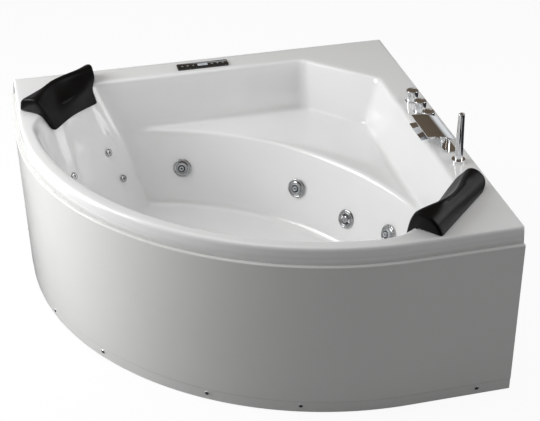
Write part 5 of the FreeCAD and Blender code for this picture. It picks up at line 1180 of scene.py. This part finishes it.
def add_keypad():
    """Frame, window, a pale display and a row of round keys on each side of it."""
    x, y = PANEL_AT
    width, depth = PANEL_SIZE
    levels = [
        (RIM_Z, 0.0004), (RIM_Z + 0.0006, 0.0), (PANEL_TOP - 0.0012, 0.0),
        (PANEL_TOP - 0.0003, 0.0004), (PANEL_TOP, 0.0012), (PANEL_TOP, 0.0034),
        (PANEL_TOP - 0.0010, 0.0042),
    ]
    shape = stacked(rounded_box(x, y, width, depth, PANEL_CORNER_R, levels))
    plate = add_piece("keypad_frame", *shape, BLACK_FRAME, "bath", "black_gloss")
    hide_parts("control_panel")
    glass = [(PANEL_TOP - 0.0012, 0.0042), (PANEL_TOP - 0.0004, 0.0042), (PANEL_TOP - 0.0002, 0.0046)]
    shape = stacked(rounded_box(x, y, width, depth, PANEL_CORNER_R, glass))
    window = add_piece("keypad_window", *shape, BLACK_WINDOW, "bath", "panel_glass")
    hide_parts("panel_glass")
    z = PANEL_TOP - 0.0003
    display = [(z, 0.0), (z + 0.0002, 0.0), (z + 0.0003, 0.0003)]
    shapes = [stacked(rounded_box(x, y, 0.040, 0.020, 0.002, display))]
    for side in (-1, 1):
        for i in range(3):
            centre = x + side * (KEY_FIRST + KEY_PITCH * i)
            ring = closed_profile([
                (KEY_R - 0.0009, z), (KEY_R - 0.0009, z + 0.0003), (KEY_R, z + 0.0003), (KEY_R, z),
            ], 0.0001)
            shapes.append(lathe(ring, upright_seat(centre, y), 32, closed=True))
            dot = np.array([(0.0, z), (0.0014, z), (0.0014, z + 0.0003), (0.0, z + 0.0003)])
            shapes.append(lathe(dot, upright_seat(centre, y), 16))
    add_piece("keypad_marks", *together(shapes), KEY_LIGHT, "bath", "panel_glass")


# ---- nodes that keep their construction shape ----
KEPT = {
    "base_board": BOARD,
    "equipment_shelf": BOARD,
    "base_rails": ZINC_STEEL,
    "uprights": ZINC_STEEL,
    "apron_brackets": ZINC_STEEL,
    "foot_nuts": ZINC_STEEL,
    "apron_screws": CHROME,
    "jet_bodies": NOZZLE,
    "back_jet_pipes": GREY_PIPE,
    "floor_jets": NOZZLE,
    "water_manifold": GREY_PIPE,
    "air_manifold": GREY_PIPE,
    "pump_pipes": GREY_PIPE,
    "air_hoses": GREY_PIPE,
    "pump_wet_end": BLACK_PLASTIC,
    "pump_motor": MOTOR_ENAMEL,
    "pump_impeller": BLACK_PLASTIC,
    "air_blower": BLACK_PLASTIC,
    "blower_fan": BLACK_PLASTIC,
    "control_box": GREY_PIPE,
    "wiring": BLACK_PLASTIC,
    "waste_trims": CHROME,
    "drain_body": BLACK_PLASTIC,
    "drain_plug": CHROME,
    "drain_trap": GREY_PIPE,
    "overflow_body": BLACK_PLASTIC,
    "overflow_knob": CHROME,
    "overflow_hose": GREY_PIPE,
    "drain_cable": BLACK_PLASTIC,
    "tap_valves": BRASS,
    "mixer_pipe": BRASS,
    "deck_flanges": CHROME,
    "spout_plate": CHROME,
    "spout_tray": CHROME,
    "spout_post": CHROME,
    "shower_hose": HOSE_STEEL,
}


def dress_kept_nodes():
    materials = dict(KEPT)
    for number in range(1, 7):
        materials["levelling_foot_%d" % number] = ZINC_STEEL
    for name, material in materials.items():
        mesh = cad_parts[name].data
        mesh.materials.clear()
        mesh.materials.append(material)


# ---- scene ----
add_camera()
add_world(WORLD_STRENGTH)
for lamp in LAMPS:
    add_area(*lamp)
add_floor()
bpy.context.scene.view_settings.view_transform = "Standard"

dress_kept_nodes()
add_tub()
add_apron()
add_pillows()
add_jets()
add_suction_cover()
add_small_jets()
add_knobs()
add_hand_shower()
add_keypad()
